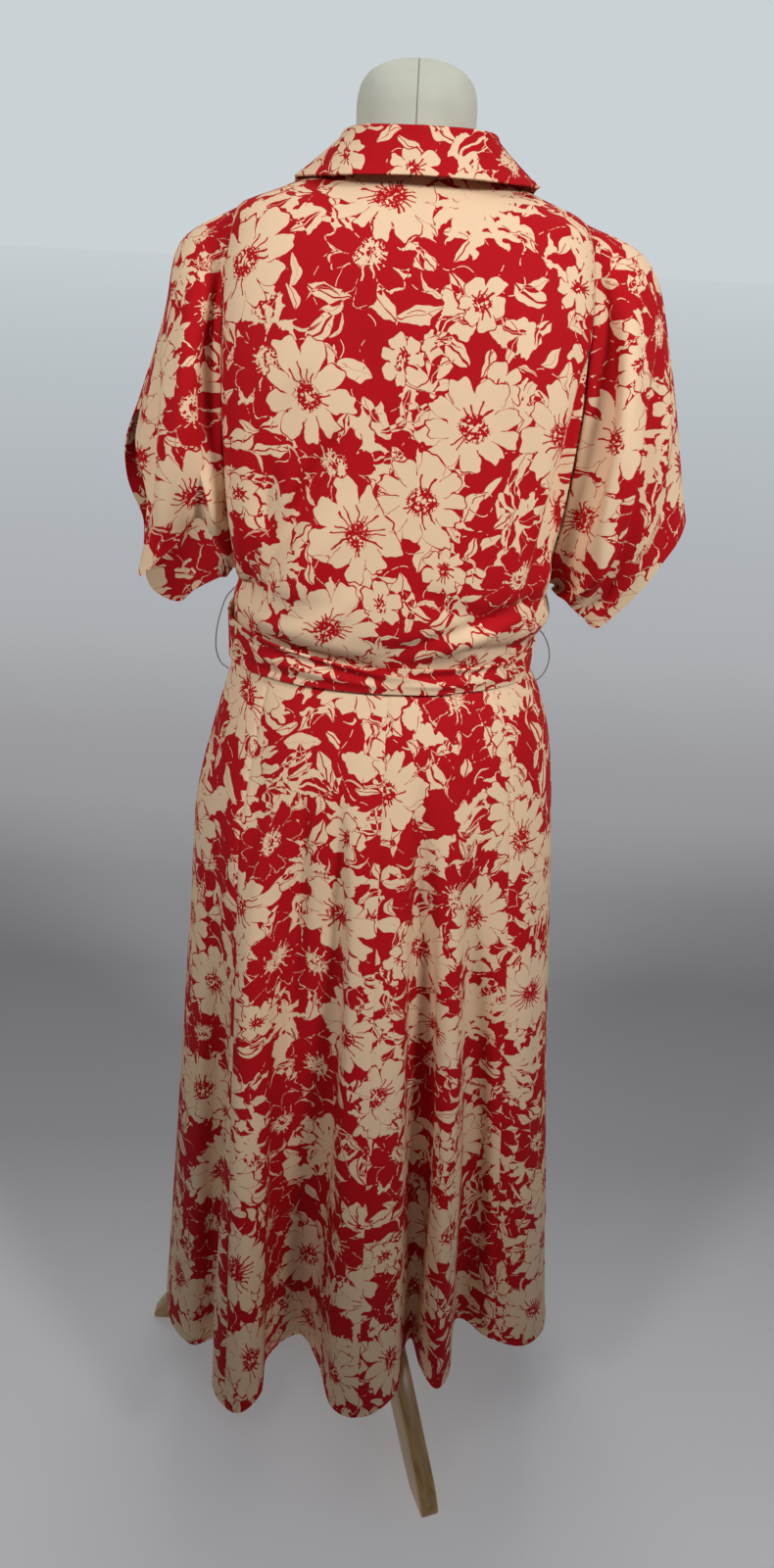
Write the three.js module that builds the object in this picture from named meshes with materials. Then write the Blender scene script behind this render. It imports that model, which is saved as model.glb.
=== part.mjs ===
// A midi wrap dress with wide elbow-length sleeves and a shirt collar, worn by a limbless dress form
// on a wooden tripod. Millimetres, +Z up. The back of the dress faces -Y and the wearer's right is +X.
// Every cloth piece is a wall on a surface that its own function works out from the tables below.
import * as THREE from "three";

// Driving dimensions
const CLOTH = 1.6; // wall of one layer of the dress
const TIE_CLOTH = 2; // wall of a tie, which is folded double
const SEAM_GAP = 0.3; // between two pieces that are sewn together
const HEM_Z = 170; // hem of the skirt above the floor
const WAIST_Z = 903; // waist seam
const UNDERARM_Z = 985; // lowest point of the armhole
const SHOULDER_Z = 1287; // highest point of the armhole, on the shoulder seam
const NECK_Z = 1322; // neck point, where the collar starts on the shoulder seam
const ARMHOLE_BACK = 61; // depth of the armhole fold behind the side line
const ARMHOLE_FRONT = 55; // and before it
const ARMHOLE_ROUND = 2.5; // exponent of the armhole's oval
const UNDER_LAYER = 3; // how far the under-front lies below the over-front
const TIE_WIDTH = 34; // a tie's free end, folded
const TAIL_LENGTH = 330; // a tie's free end below its knot
const TIE_RIGHT_OFF = 3.1; // outside of the tie that lies on the bodice, beyond the bodice's own
const TIE_LEFT_OFF = 5.6; // and of the tie that crosses over it
const NECK_EASE = 2.5; // the fronts end this far below the neck point
const FORM_BASE_Z = 640; // underside of the padded form
const POLE_RADIUS = 12.5;
const HUB_RADIUS = 36;
const HUB_LOW_Z = 92;
const HUB_HIGH_Z = 182;
const LEG_THICKNESS = 20;
const LEG_REACH = 261; // from the pole's middle to the tip of a leg
const LEG_TURNS = [-69.5, 178.3, 58.3]; // direction of each leg in degrees from +X

// A table is a list of rows under named columns
function table(columns, rows) {
  return rows.map((row) =>
    Object.fromEntries(columns.map((name, i) => [name, row[i]])),
  );
}

// Sections of the bodice. left and right are half widths, back and front are depths from the side
// line, round is the exponent of the section, and drop is how far the middle lies below the sides.
const BODICE = table(
  ["z", "left", "right", "back", "front", "round", "drop"],
  [
    [903, 148, 131, 96, 106, 2.2, 0],
    [925, 148, 132, 98, 107, 2.2, 0],
    [942, 148, 137, 103, 111, 2.3, 0],
    [960, 148, 146, 111, 119, 2.4, 0],
    [985, 142, 140, 112, 126, 2.6, 0],
    [1015, 143, 139, 112, 130, 2.7, 0],
    [1050, 146, 143, 112, 133, 2.8, 0],
    [1100, 148, 147, 112, 134, 2.8, 0],
    [1150, 149, 150, 112, 128, 2.8, 0],
    [1200, 148, 150, 110, 114, 2.8, 0],
    [1240, 146, 149, 104, 92, 2.7, 0],
    [1268, 143, 146, 95, 70, 2.5, 0],
    [1287, 140, 140, 85, 53, 2.4, 1],
    [1300, 110, 110, 77, 46, 2.3, 3],
    [1312, 80, 80, 70, 42, 2.2, 6],
    [1322, 57, 57, 63, 39, 2.1, 8],
  ],
);

// Edge of each front, from the neck point to the waist on the other side
const WRAP_EDGE = table(
  ["z", "x"],
  [
    [903, -118],
    [985, -96],
    [1080, -48],
    [1170, 0],
    [1240, 32],
    [1292, 51],
    [1320, 55],
  ],
);

// Rings of a sleeve. turn goes from the shoulder line over the back, the underarm and the front, and
// x is measured outwards from the middle of the body.
const RING = ["turn", "x", "y", "z"];
const SLEEVE_LEFT = {
  upper: table(RING, [
    [0, 190, 0, 1258],
    [0.07, 183, -36, 1238],
    [0.15, 172, -68, 1190],
    [0.25, 166, -82, 1125],
    [0.35, 162, -76, 1062],
    [0.43, 152, -48, 1012],
    [0.5, 147, -3, 985],
    [0.57, 152, 40, 1012],
    [0.65, 162, 61, 1062],
    [0.75, 167, 68, 1125],
    [0.85, 172, 58, 1190],
    [0.93, 183, 31, 1238],
  ]),
  lower: table(RING, [
    [0, 206, 2, 1205],
    [0.07, 203, -36, 1178],
    [0.15, 196, -64, 1130],
    [0.22, 192, -74, 1080],
    [0.29, 181, -64, 1046],
    [0.35, 171, -50, 1036],
    [0.42, 158, -50, 1020],
    [0.5, 151, -8, 983],
    [0.57, 162, 30, 986],
    [0.65, 180, 54, 1006],
    [0.72, 194, 66, 1046],
    [0.8, 204, 62, 1102],
    [0.88, 209, 45, 1150],
    [0.94, 209, 22, 1186],
  ]),
  hem: table(RING, [
    [0, 232, 4, 1120],
    [0.05, 231, -22, 1095],
    [0.1, 221, -38, 1058],
    [0.15, 221, -46, 1019],
    [0.2, 227, -50, 985],
    [0.25, 206, -52, 1003],
    [0.3, 187, -42, 1022],
    [0.34, 178, -30, 1046],
    [0.37, 168, -26, 1047],
    [0.41, 157, -40, 1036],
    [0.45, 152, -44, 1018],
    [0.48, 151, -30, 994],
    [0.5, 154, -10, 979],
    [0.54, 160, 14, 970],
    [0.59, 170, 34, 963],
    [0.64, 194, 42, 948],
    [0.69, 211, 44, 935],
    [0.74, 236, 44, 947],
    [0.79, 243, 44, 974],
    [0.84, 241, 42, 1014],
    [0.89, 253, 38, 1051],
    [0.93, 252, 28, 1084],
    [0.97, 241, 15, 1112],
  ]),
};
const SLEEVE_RIGHT = {
  upper: table(RING, [
    [0, 200, 0, 1258],
    [0.07, 194, -38, 1236],
    [0.15, 182, -72, 1188],
    [0.25, 174, -87, 1122],
    [0.35, 167, -82, 1060],
    [0.43, 152, -50, 1012],
    [0.5, 145, -3, 985],
    [0.57, 152, 42, 1012],
    [0.65, 167, 64, 1060],
    [0.75, 174, 72, 1122],
    [0.85, 182, 60, 1188],
    [0.93, 194, 32, 1236],
  ]),
  lower: table(RING, [
    [0, 230, 2, 1180],
    [0.07, 226, -38, 1146],
    [0.15, 214, -64, 1100],
    [0.22, 201, -76, 1060],
    [0.29, 190, -70, 1030],
    [0.36, 176, -74, 1010],
    [0.43, 160, -50, 994],
    [0.5, 150, -8, 983],
    [0.57, 160, 34, 986],
    [0.65, 182, 56, 1002],
    [0.73, 204, 66, 1040],
    [0.81, 220, 58, 1092],
    [0.88, 228, 42, 1132],
    [0.94, 232, 20, 1164],
  ]),
  hem: table(RING, [
    [0, 262, 2, 1048],
    [0.06, 253, -22, 1034],
    [0.12, 237, -36, 1014],
    [0.18, 219, -42, 989],
    [0.23, 188, -42, 956],
    [0.28, 174, -36, 963],
    [0.34, 163, -42, 972],
    [0.4, 154, -46, 981],
    [0.45, 148, -34, 982],
    [0.5, 146, -8, 981],
    [0.55, 153, 20, 970],
    [0.61, 167, 38, 958],
    [0.68, 193, 44, 944],
    [0.76, 219, 46, 962],
    [0.84, 238, 40, 997],
    [0.92, 255, 24, 1025],
  ]),
};

// Sections of the skirt down to the fullest part of the hip
const SKIRT = table(
  ["z", "left", "right", "back", "front", "round"],
  [
    [700, 190, 174, 136, 132, 2.1],
    [745, 188, 170, 133, 129, 2.1],
    [790, 180, 166, 127, 124, 2.1],
    [840, 167, 158, 117, 118, 2.15],
    [878, 156, 146, 106, 112, 2.2],
    [WAIST_Z, 149, 133, 98, 107, 2.2],
  ],
);
const HIP_Z = 700;
const FOLD_START_Z = 800; // the folds fade out towards this height
const FOLD_GROWTH = 1.35; // how fast they deepen on the way down

// Outline of the hem, a row for each fold's top, side or bottom. turn goes round from the centre
// back, rightwards, and the front's folds are the hidden side's own.
const HEM = table(
  ["turn", "x", "y"],
  [
    [-0.5, 8, 232],
    [-0.465, -38, 176],
    [-0.43, -88, 222],
    [-0.395, -128, 158],
    [-0.36, -178, 186],
    [-0.32, -186, 118],
    [-0.285, -229, 66],
    [-0.25, -226, -20],
    [-0.22, -220, -94],
    [-0.2, -206, -148],
    [-0.177, -178, -178],
    [-0.155, -151, -172],
    [-0.138, -147, -228],
    [-0.115, -119, -257],
    [-0.092, -96, -232],
    [-0.078, -95, -190],
    [-0.052, -62, -158],
    [-0.033, -38, -196],
    [-0.018, -22, -244],
    [0.004, 12, -254],
    [0.024, 46, -222],
    [0.034, 51, -176],
    [0.045, 61, -156],
    [0.055, 70, -190],
    [0.07, 87, -217],
    [0.083, 102, -194],
    [0.094, 110, -128],
    [0.12, 146, -150],
    [0.15, 184, -158],
    [0.18, 210, -130],
    [0.215, 214, -66],
    [0.25, 222, 0],
    [0.285, 228, 66],
    [0.32, 182, 112],
    [0.36, 176, 184],
    [0.395, 126, 160],
    [0.43, 88, 224],
    [0.465, 48, 178],
  ],
);
// Plain oval that the hem's folds stand on
const HEM_OVAL = { left: 217, right: 212, back: 196, front: 184, round: 2.1 };

// One half of the collar from centre back to the front end: the seam, the roll and the free edge,
// with x measured outwards
const COLLAR = table(
  ["at", "seamX", "seamY", "seamZ", "rollX", "rollY", "rollZ", "edgeX", "edgeY", "edgeZ"],
  [
    [0, 0, -59, 1316, 0, -62, 1346, 0, -84, 1312],
    [0.2, 30, -51, 1318, 32, -54, 1346, 43, -78, 1311],
    [0.35, 48, -32, 1322, 52, -33, 1345, 79, -51, 1310],
    [0.5, 51, 2, 1324, 57, 0, 1342, 99, -8, 1310],
    [0.62, 50, 26, 1312, 57, 28, 1329, 99, 26, 1304],
    [0.74, 46, 43, 1297, 53, 50, 1313, 96, 60, 1284],
    [1, 28, 89, 1242, 35, 99, 1254, 72, 118, 1212],
  ],
);
const ROLL_SHIFT = 5; // the roll and the fall sit off centre, towards the right shoulder
const ROLL_WIDTH = 7; // how far the stand and the fall lie apart at the roll
const ROLL_RISE = 4; // height of the rounded roll

// Where the ties are knotted, at the left of the front, and the middle of each free end
const KNOT_TURN = -0.34;
const KNOT_Z = 925;
const KNOT = { across: 21, deep: 11, high: 17 };
const TAIL_OFF = { top: 17.5, low: 3.6 }; // outside of a free end beyond the skirt's own
const TAILS = table(
  ["name", "turn", "spread"],
  [
    ["tie_tail_1", KNOT_TURN - 0.0187, -0.026],
    ["tie_tail_2", KNOT_TURN + 0.0187, 0.014],
  ],
);

// Thread belt loops at the side seams
const LOOP_THREAD = 1.2;
const LOOPS = {
  loop_left: [
    [-148.2, -5, 966],
    [-157, -6, 954],
    [-164, -8, 930],
    [-166, -8, 908],
    [-162, -7, 893],
    [-154.4, -6, 886],
  ],
  loop_right: [
    [137.6, -4, 941],
    [144, -6, 935],
    [150, -7, 922],
    [151, -7, 908],
    [147, -6, 896],
    [141.4, -4, 889],
  ],
};

// The two ties where they cross at the back: turn round the waist, and the lower and upper edges
const TIE_LEFT = table(
  ["turn", "low", "high"],
  [
    [-0.34, 906, 944],
    [-0.25, 905, 950],
    [-0.17, 905, 946],
    [-0.08, 904, 933],
    [0, 903.6, 922],
    [0.07, 903.6, 911],
  ],
);
const TIE_RIGHT = table(
  ["turn", "low", "high"],
  [
    [-0.2, 904, 922],
    [-0.1, 904, 925],
    [0, 904, 927],
    [0.1, 904, 926],
    [0.2, 904, 930],
    [0.3, 905, 938],
    [0.66, 906, 944],
  ],
);

// Sections of the padded form
const FORM = table(
  ["z", "half", "back", "front", "round"],
  [
    [FORM_BASE_Z, 150, 100, 98, 2],
    [660, 158, 108, 106, 2],
    [740, 163, 116, 112, 2],
    [800, 156, 112, 108, 2],
    [850, 138, 98, 102, 2],
    [903, 118, 84, 94, 2],
    [960, 124, 90, 104, 2],
    [1050, 138, 102, 120, 2.1],
    [1110, 141, 104, 124, 2.1],
    [1165, 145, 103, 114, 2.1],
    [1195, 160, 100, 100, 2],
    [1225, 168, 95, 88, 2],
    [1245, 166, 88, 74, 2],
    [1262, 158, 80, 60, 2],
    [1277, 148, 75, 51, 2],
    [1287, 135, 72, 46, 2],
    [1300, 105, 65, 36, 2],
    [1312, 74.8, 56, 31, 2],
    [1318, 51, 50, 32, 2],
    [1325, 48, 48, 38, 2],
    [1340, 48, 48, 46, 2],
    [1362, 48, 48, 48, 2],
    [1374, 46, 46, 46, 2],
    [1384, 40, 40, 40, 2],
    [1391, 29, 29, 29, 2],
    [1395, 15, 15, 15, 2],
  ],
);
const NECK_TOP_Z = 1396;

// Profile of a leg board: reach from the pole and height
const LEG_TOP = [
  [HUB_RADIUS + SEAM_GAP, 172],
  [90, 150],
  [150, 108],
  [205, 62],
  [245, 28],
  [LEG_REACH, 4],
];
const LEG_UNDER = [
  [LEG_REACH - 2, 0],
  [222, 0],
  [190, 20],
  [140, 56],
  [90, 84],
  [HUB_RADIUS + SEAM_GAP, 100],
];

// Smooth curve through a table's column, over a key column, held flat beyond its ends
function curve(rows, key, column) {
  const xs = rows.map((row) => row[key]);
  const ys = rows.map((row) => row[column]);
  const step = (i) => (ys[i + 1] - ys[i]) / (xs[i + 1] - xs[i]);
  const slope = ys.map((_, i) => {
    if (i === 0) return step(0);
    if (i === ys.length - 1) return step(i - 1);
    const [before, after] = [step(i - 1), step(i)];
    return before * after <= 0 ? 0 : (2 * before * after) / (before + after);
  });
  return (x) => {
    if (x <= xs[0]) return ys[0];
    if (x >= xs[xs.length - 1]) return ys[ys.length - 1];
    const i = xs.findIndex((_, k) => x < xs[k + 1]);
    return hermite(xs[i], xs[i + 1], ys[i], ys[i + 1], slope[i], slope[i + 1], x);
  };
}

function hermite(x0, x1, y0, y1, m0, m1, x) {
  const h = x1 - x0;
  const t = (x - x0) / h;
  const a = 2 * t ** 3 - 3 * t ** 2 + 1;
  const b = t ** 3 - 2 * t ** 2 + t;
  const c = t ** 3 - t ** 2;
  return a * y0 + b * h * m0 + (1 - a) * y1 + c * h * m1;
}

// Smooth closed curve through a table's column, over turns that start anywhere
function loop(rows, column) {
  const n = rows.length;
  const turn = (i) => rows[((i % n) + n) % n].turn + Math.floor(i / n);
  const value = (i) => rows[((i % n) + n) % n][column];
  const slope = (i) => (value(i + 1) - value(i - 1)) / (turn(i + 1) - turn(i - 1));
  return (t) => {
    const x = t - Math.floor(t - rows[0].turn);
    let i = 0;
    while (turn(i + 1) <= x) i += 1;
    return hermite(turn(i), turn(i + 1), value(i), value(i + 1), slope(i), slope(i + 1), x);
  };
}

function smooth(low, high, x) {
  const t = Math.min(1, Math.max(0, (x - low) / (high - low)));
  return t * t * (3 - 2 * t);
}

// Point of a section with a rounded corner: angle 0 is the middle and 90 degrees the side
function corner(angle, half, depth, round) {
  const [s, c] = [Math.sin(angle), Math.cos(angle)];
  const reach = (Math.abs(s) ** round + Math.abs(c) ** round) ** (-1 / round);
  return [half * s * reach, depth * c * reach];
}

const bodice = Object.fromEntries(
  ["left", "right", "back", "front", "round", "drop"].map((name) => [name, curve(BODICE, "z", name)]),
);
const ARMHOLE_MID = (UNDERARM_Z + SHOULDER_Z) / 2;
const ARMHOLE_HALF = (SHOULDER_Z - UNDERARM_Z) / 2;

// How far the armhole fold lies from the side line at a height
function armhole(z, depth) {
  const t = Math.min(1, Math.abs(z - ARMHOLE_MID) / ARMHOLE_HALF);
  return depth * (1 - t ** ARMHOLE_ROUND) ** (1 / ARMHOLE_ROUND);
}

// Back of the bodice: across from -1 at the left to 1 at the right, at a height
function backPoint(across, z) {
  const half = across < 0 ? bodice.left(z) : bodice.right(z);
  const fold = armhole(z, ARMHOLE_BACK);
  const angle = (Math.abs(across) * Math.PI) / 2;
  const [x, y] = corner(angle, half, bodice.back(z) - fold, bodice.round(z));
  const middle = Math.cos((across * Math.PI) / 2) ** 2;
  return new THREE.Vector3(Math.sign(across) * x, -fold - y, z - bodice.drop(z) * middle);
}

// Front of the bodice: across from -1 at the right to 1 at the left, at a height
function frontPoint(across, z) {
  const half = across < 0 ? bodice.right(z) : bodice.left(z);
  const fold = armhole(z, ARMHOLE_FRONT);
  const angle = (Math.abs(across) * Math.PI) / 2;
  const [x, y] = corner(angle, half, bodice.front(z) - fold, bodice.round(z));
  return new THREE.Vector3(-Math.sign(across) * x, fold + y, z);
}

// Outward direction along the armhole's rim, the same for the sleeve and the bodice
function armholeRim(point) {
  return new THREE.Vector3(0, point.y, point.z - ARMHOLE_MID).normalize();
}

// Where a front's edge lies across the chest at a height. side is 1 for the right front.
const wrapX = curve(WRAP_EDGE, "z", "x");
function wrapAcross(z, side) {
  let [low, high] = [-1, 1];
  for (let i = 0; i < 30; i += 1) {
    const mid = (low + high) / 2;
    if (side * frontPoint(side * mid, z).x > wrapX(z)) low = mid;
    else high = mid;
  }
  return (low + high) / 2;
}

const skirtRing = Object.fromEntries(
  ["left", "right", "back", "front", "round"].map((name) => [name, curve(SKIRT, "z", name)]),
);
const hemX = loop(HEM, "x");
const hemY = loop(HEM, "y");

// Plain oval of a section at a turn from the centre back
function oval(turn, ring) {
  const angle = turn * 2 * Math.PI;
  const half = Math.sin(angle) < 0 ? ring.left : ring.right;
  const depth = Math.cos(angle) < 0 ? ring.front : ring.back;
  const [x, y] = corner(angle, half, depth, ring.round);
  return [x, -y];
}

// Skirt at a turn and a height: the oval sections, with the hem's folds growing downwards
function skirtPoint(turn, z) {
  const at = Math.max(z, HIP_Z);
  const ring = Object.fromEntries(Object.entries(skirtRing).map(([name, f]) => [name, f(at)]));
  const [ringX, ringY] = oval(turn, ring);
  const [plainX, plainY] = oval(turn, HEM_OVAL);
  const fall = Math.max(0, (HIP_Z - z) / (HIP_Z - HEM_Z));
  const fold = Math.max(0, (FOLD_START_Z - z) / (FOLD_START_Z - HEM_Z)) ** FOLD_GROWTH;
  return new THREE.Vector3(
    ringX + (plainX - ringX) * fall + (hemX(turn) - plainX) * fold,
    ringY + (plainY - ringY) * fall + (hemY(turn) - plainY) * fold,
    z,
  );
}

// A sleeve at a turn and at a share of the way from the armhole to its hem. side is 1 on the right.
const SLEEVE_KNOTS = [0, 0.34, 0.68, 1]; // shares at which the armhole and the three rings stand
function sleevePoint(rings, side) {
  const ringPoint = [rings.upper, rings.lower, rings.hem].map((rows) =>
    ["x", "y", "z"].map((name) => loop(rows, name)),
  );
  return (turn, along) => {
    const angle = turn * 2 * Math.PI;
    const z = ARMHOLE_MID + ARMHOLE_HALF * Math.cos(angle);
    const back = Math.sin(angle) > 0;
    const seam = back ? backPoint(side, z) : frontPoint(-side, z);
    const onRings = ringPoint.map((f) => f.map((g) => g(turn)));
    const points = [[side * seam.x, seam.y, seam.z]].concat(onRings);
    return new THREE.Vector3(
      ...[0, 1, 2].map((axis) => {
        const rows = SLEEVE_KNOTS.map((at, i) => ({ at, value: points[i][axis] }));
        return through(rows, along) * (axis === 0 ? side : 1);
      }),
    );
  };
}

// Smooth curve through four rows with even slopes
function through(rows, at) {
  let i = 0;
  while (i < rows.length - 2 && at > rows[i + 1].at) i += 1;
  const slope = (k) => {
    const [a, b] = [rows[Math.max(0, k - 1)], rows[Math.min(rows.length - 1, k + 1)]];
    return (b.value - a.value) / (b.at - a.at);
  };
  const [p, q] = [rows[i], rows[i + 1]];
  return hermite(p.at, q.at, p.value, q.value, slope(i), slope(i + 1), at);
}

// Direction that a surface faces
function facing(surface, u, v) {
  const e = 1e-4;
  const du = surface(u + e, v).sub(surface(u - e, v));
  const dv = surface(u, v + e * 50).sub(surface(u, v - e * 50));
  return du.cross(dv).normalize();
}

// Closed wall on a surface: us and vs are where it is sampled, and its thickness goes inwards.
// seams names the edges that keep half a seam gap: uLow, uHigh, vLow, vHigh. rim may give the
// facing at an edge of the sheet.
function wall(surface, us, vs, { thick = CLOTH, closed = false, seams = [], rim = null } = {}) {
  const rows = vs.map((v) => us.map((u) => surface(u, v)));
  const normals = vs.map((v, j) =>
    us.map((u, i) => (rim && rim(i, j, rows[j][i])) || facing(surface, u, v)),
  );
  const last = us.length - 1;
  const top = vs.length - 1;
  const ease = (point, other) => point.add(other.clone().sub(point).setLength(SEAM_GAP / 2 + 0.01));
  rows.forEach((row) => {
    if (seams.includes("uLow")) ease(row[0], row[1]);
    if (seams.includes("uHigh")) ease(row[last], row[last - 1]);
  });
  us.forEach((_, i) => {
    if (seams.includes("vLow")) ease(rows[0][i], rows[1][i]);
    if (seams.includes("vHigh")) ease(rows[top][i], rows[top - 1][i]);
  });
  const position = [];
  const index = [];
  const outer = rows.map((row) => row.map((p) => position.push(p.x, p.y, p.z) / 3 - 1));
  const inner = rows.map((row, j) =>
    row.map((p, i) => {
      const q = p.clone().addScaledVector(normals[j][i], -thick);
      return position.push(q.x, q.y, q.z) / 3 - 1;
    }),
  );
  const quad = (a, b, c, d) => index.push(a, b, c, a, c, d);
  const columns = closed ? us.length : last;
  const next = (i) => (closed ? (i + 1) % us.length : i + 1);
  for (let j = 0; j < top; j += 1)
    for (let i = 0; i < columns; i += 1) {
      quad(outer[j][i], outer[j][next(i)], outer[j + 1][next(i)], outer[j + 1][i]);
      quad(inner[j][i], inner[j + 1][i], inner[j + 1][next(i)], inner[j][next(i)]);
    }
  for (let i = 0; i < columns; i += 1) {
    quad(inner[0][i], inner[0][next(i)], outer[0][next(i)], outer[0][i]);
    quad(outer[top][i], outer[top][next(i)], inner[top][next(i)], inner[top][i]);
  }
  if (!closed)
    for (let j = 0; j < top; j += 1) {
      quad(inner[j][0], outer[j][0], outer[j + 1][0], inner[j + 1][0]);
      quad(outer[j][last], inner[j][last], inner[j + 1][last], outer[j + 1][last]);
    }
  return new THREE.BufferGeometry()
    .setAttribute("position", new THREE.Float32BufferAttribute(position, 3))
    .setIndex(index);
}

// Solid through sections of equal point counts, closed at both ends
function loft(sections, lowMiddle, highMiddle) {
  const count = sections[0].length;
  const position = sections.flat().flatMap((p) => [p.x, p.y, p.z]);
  const index = [];
  sections.slice(1).forEach((_, j) => {
    for (let i = 0; i < count; i += 1) {
      const k = (i + 1) % count;
      const [a, b, c, d] = [j * count + i, j * count + k, (j + 1) * count + k, (j + 1) * count + i];
      index.push(a, b, c, a, c, d);
    }
  });
  const low = position.push(lowMiddle.x, lowMiddle.y, lowMiddle.z) / 3 - 1;
  const high = position.push(highMiddle.x, highMiddle.y, highMiddle.z) / 3 - 1;
  const start = (sections.length - 1) * count;
  for (let i = 0; i < count; i += 1) {
    const k = (i + 1) % count;
    index.push(low, k, i, high, start + i, start + k);
  }
  return new THREE.BufferGeometry()
    .setAttribute("position", new THREE.Float32BufferAttribute(position, 3))
    .setIndex(index);
}

function spread(low, high, steps) {
  return Array.from({ length: steps + 1 }, (_, i) => low + ((high - low) * i) / steps);
}

// Looks, close to the real ones
function finish(color, roughness, metalness = 0) {
  return new THREE.MeshStandardMaterial({ color, roughness, metalness, side: THREE.DoubleSide });
}
const crepe = () => finish(0xc0302c, 0.8);
const jersey = () => finish(0xcfcbbe, 0.9);
const beech = () => finish(0xa88350, 0.45);
const thread = () => finish(0x8e8c84, 0.7);
const steel = () => finish(0xb9bbbd, 0.35, 0.9);

const part = new THREE.Group();
function add(name, geometry, material) {
  const mesh = new THREE.Mesh(geometry, material);
  mesh.name = name;
  part.add(mesh);
  return mesh;
}

// Heights at which the bodice is sampled. Those of the armhole are the sleeve's own too.
const ARMHOLE_STEPS = 14;
const armholeHeights = spread(0, ARMHOLE_STEPS, ARMHOLE_STEPS).map(
  (i) => ARMHOLE_MID - ARMHOLE_HALF * Math.cos((Math.PI * i) / ARMHOLE_STEPS),
);
const bodiceHeights = [WAIST_Z + SEAM_GAP, 918, 933, 945, 955, 965, 975]
  .concat(armholeHeights)
  .concat([1294, 1301, 1308, 1315, NECK_Z]);
const atArmhole = (z) => z > UNDERARM_Z - 0.01 && z < SHOULDER_Z + 0.01;

function makeBack() {
  const us = spread(-1, 1, 14);
  const rim = (i, j, point) =>
    (i === 0 || i === us.length - 1) && atArmhole(bodiceHeights[j]) ? armholeRim(point) : null;
  add("bodice_back", wall(backPoint, us, bodiceHeights, { seams: ["uLow", "uHigh"], rim }), crepe());
}

// A front, from its side seam to its edge. The two share their samples where they overlap, and the
// left one slips below the right one. side is 1 for the right front.
const SIDE_COLUMNS = 3;
const WRAP_COLUMNS = 8;
function makeFront(name, side) {
  const columns = SIDE_COLUMNS + WRAP_COLUMNS;
  const acrossAt = (k, z) => {
    const edge = wrapAcross(z, 1);
    const inner = Math.min(-edge, edge - 0.3);
    if (k <= SIDE_COLUMNS) return -1 + ((inner + 1) * k) / SIDE_COLUMNS;
    return inner + ((edge - inner) * (k - SIDE_COLUMNS)) / WRAP_COLUMNS;
  };
  const surface = (k, z) => {
    if (side > 0) return frontPoint(acrossAt(k, z), z);
    const across = -acrossAt(columns - k, z);
    const overEdge = Math.max(wrapAcross(z, 1), 0.5);
    const sunk = UNDER_LAYER * smooth(1, overEdge, across) * smooth(1225, 1180, z);
    return frontPoint(across, z).addScaledVector(facing(frontPoint, across, z), -sunk);
  };
  const us = spread(0, columns, columns);
  const heights = bodiceHeights.slice(0, -1).concat([NECK_Z - NECK_EASE]);
  const sideColumn = side > 0 ? 0 : columns;
  const rim = (i, j, point) => (i === sideColumn && atArmhole(heights[j]) ? armholeRim(point) : null);
  add(name, wall(surface, us, heights, { seams: [side > 0 ? "uLow" : "uHigh"], rim }), crepe());
}

function makeSleeve(name, rings, side) {
  const point = sleevePoint(rings, side);
  const surface = (turn, along) => point(side * turn, along);
  const heights = armholeHeights.slice(0, -1).reverse();
  const turnOf = (z) => Math.acos((z - ARMHOLE_MID) / ARMHOLE_HALF) / (2 * Math.PI);
  const half = [0].concat(heights.map(turnOf));
  const turns = half.concat(half.slice(1, -1).reverse().map((t) => 1 - t));
  const us = side > 0 ? turns : turns.map((t) => -t).reverse();
  const rim = (i, j, at) => (j === 0 ? armholeRim(at) : null);
  const geometry = wall(surface, us, spread(0, 1, 8), { closed: true, seams: ["vLow"], rim });
  add(name, geometry, crepe());
}

// Collar at a place from -1, the left front end, to 1, and at a share of the way from the seam, up
// the stand, over the rounded roll and down to the free edge
const ROLL_FROM = 0.35;
const ROLL_TO = 0.45;
const collarLine = ["seam", "roll", "edge"].map((name) =>
  ["X", "Y", "Z"].map((axis) => curve(COLLAR, "at", name + axis)),
);
function collarPoint(place, share) {
  const at = Math.abs(place);
  const [seam, roll, edge] = collarLine.map(
    (f) => new THREE.Vector3(Math.sign(place) * f[0](at), f[1](at), f[2](at)),
  );
  const out = edge.clone().sub(seam).setZ(0).normalize();
  const shift = new THREE.Vector3(ROLL_SHIFT * smooth(0.7, 0.35, at), 0, 0);
  const standTop = roll.clone().add(shift).setZ(roll.z - ROLL_RISE);
  const fallTop = standTop.clone().addScaledVector(out, ROLL_WIDTH);
  edge.add(shift);
  if (share < ROLL_FROM) return seam.lerp(standTop, share / ROLL_FROM);
  if (share > ROLL_TO) return fallTop.lerp(edge, (share - ROLL_TO) / (1 - ROLL_TO));
  const angle = ((share - ROLL_FROM) / (ROLL_TO - ROLL_FROM) - 0.5) * Math.PI;
  const middle = standTop.lerp(fallTop, 0.5).addScaledVector(out, (Math.sin(angle) * ROLL_WIDTH) / 2);
  return middle.add(new THREE.Vector3(0, 0, Math.cos(angle) * ROLL_RISE));
}

function makeCollar() {
  const places = spread(-1, 1, 24);
  const around = (place, share) => collarPoint(-place, share);
  const stand = wall(around, places, spread(0, ROLL_FROM, 2), { seams: ["vLow", "vHigh"] });
  add("collar_stand", stand, crepe());
  const shares = spread(ROLL_FROM, ROLL_TO, 4).concat(spread(ROLL_TO, 1, 3).slice(1));
  add("collar_fall", wall(around, places, shares, { seams: ["vLow"] }), crepe());
}

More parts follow.
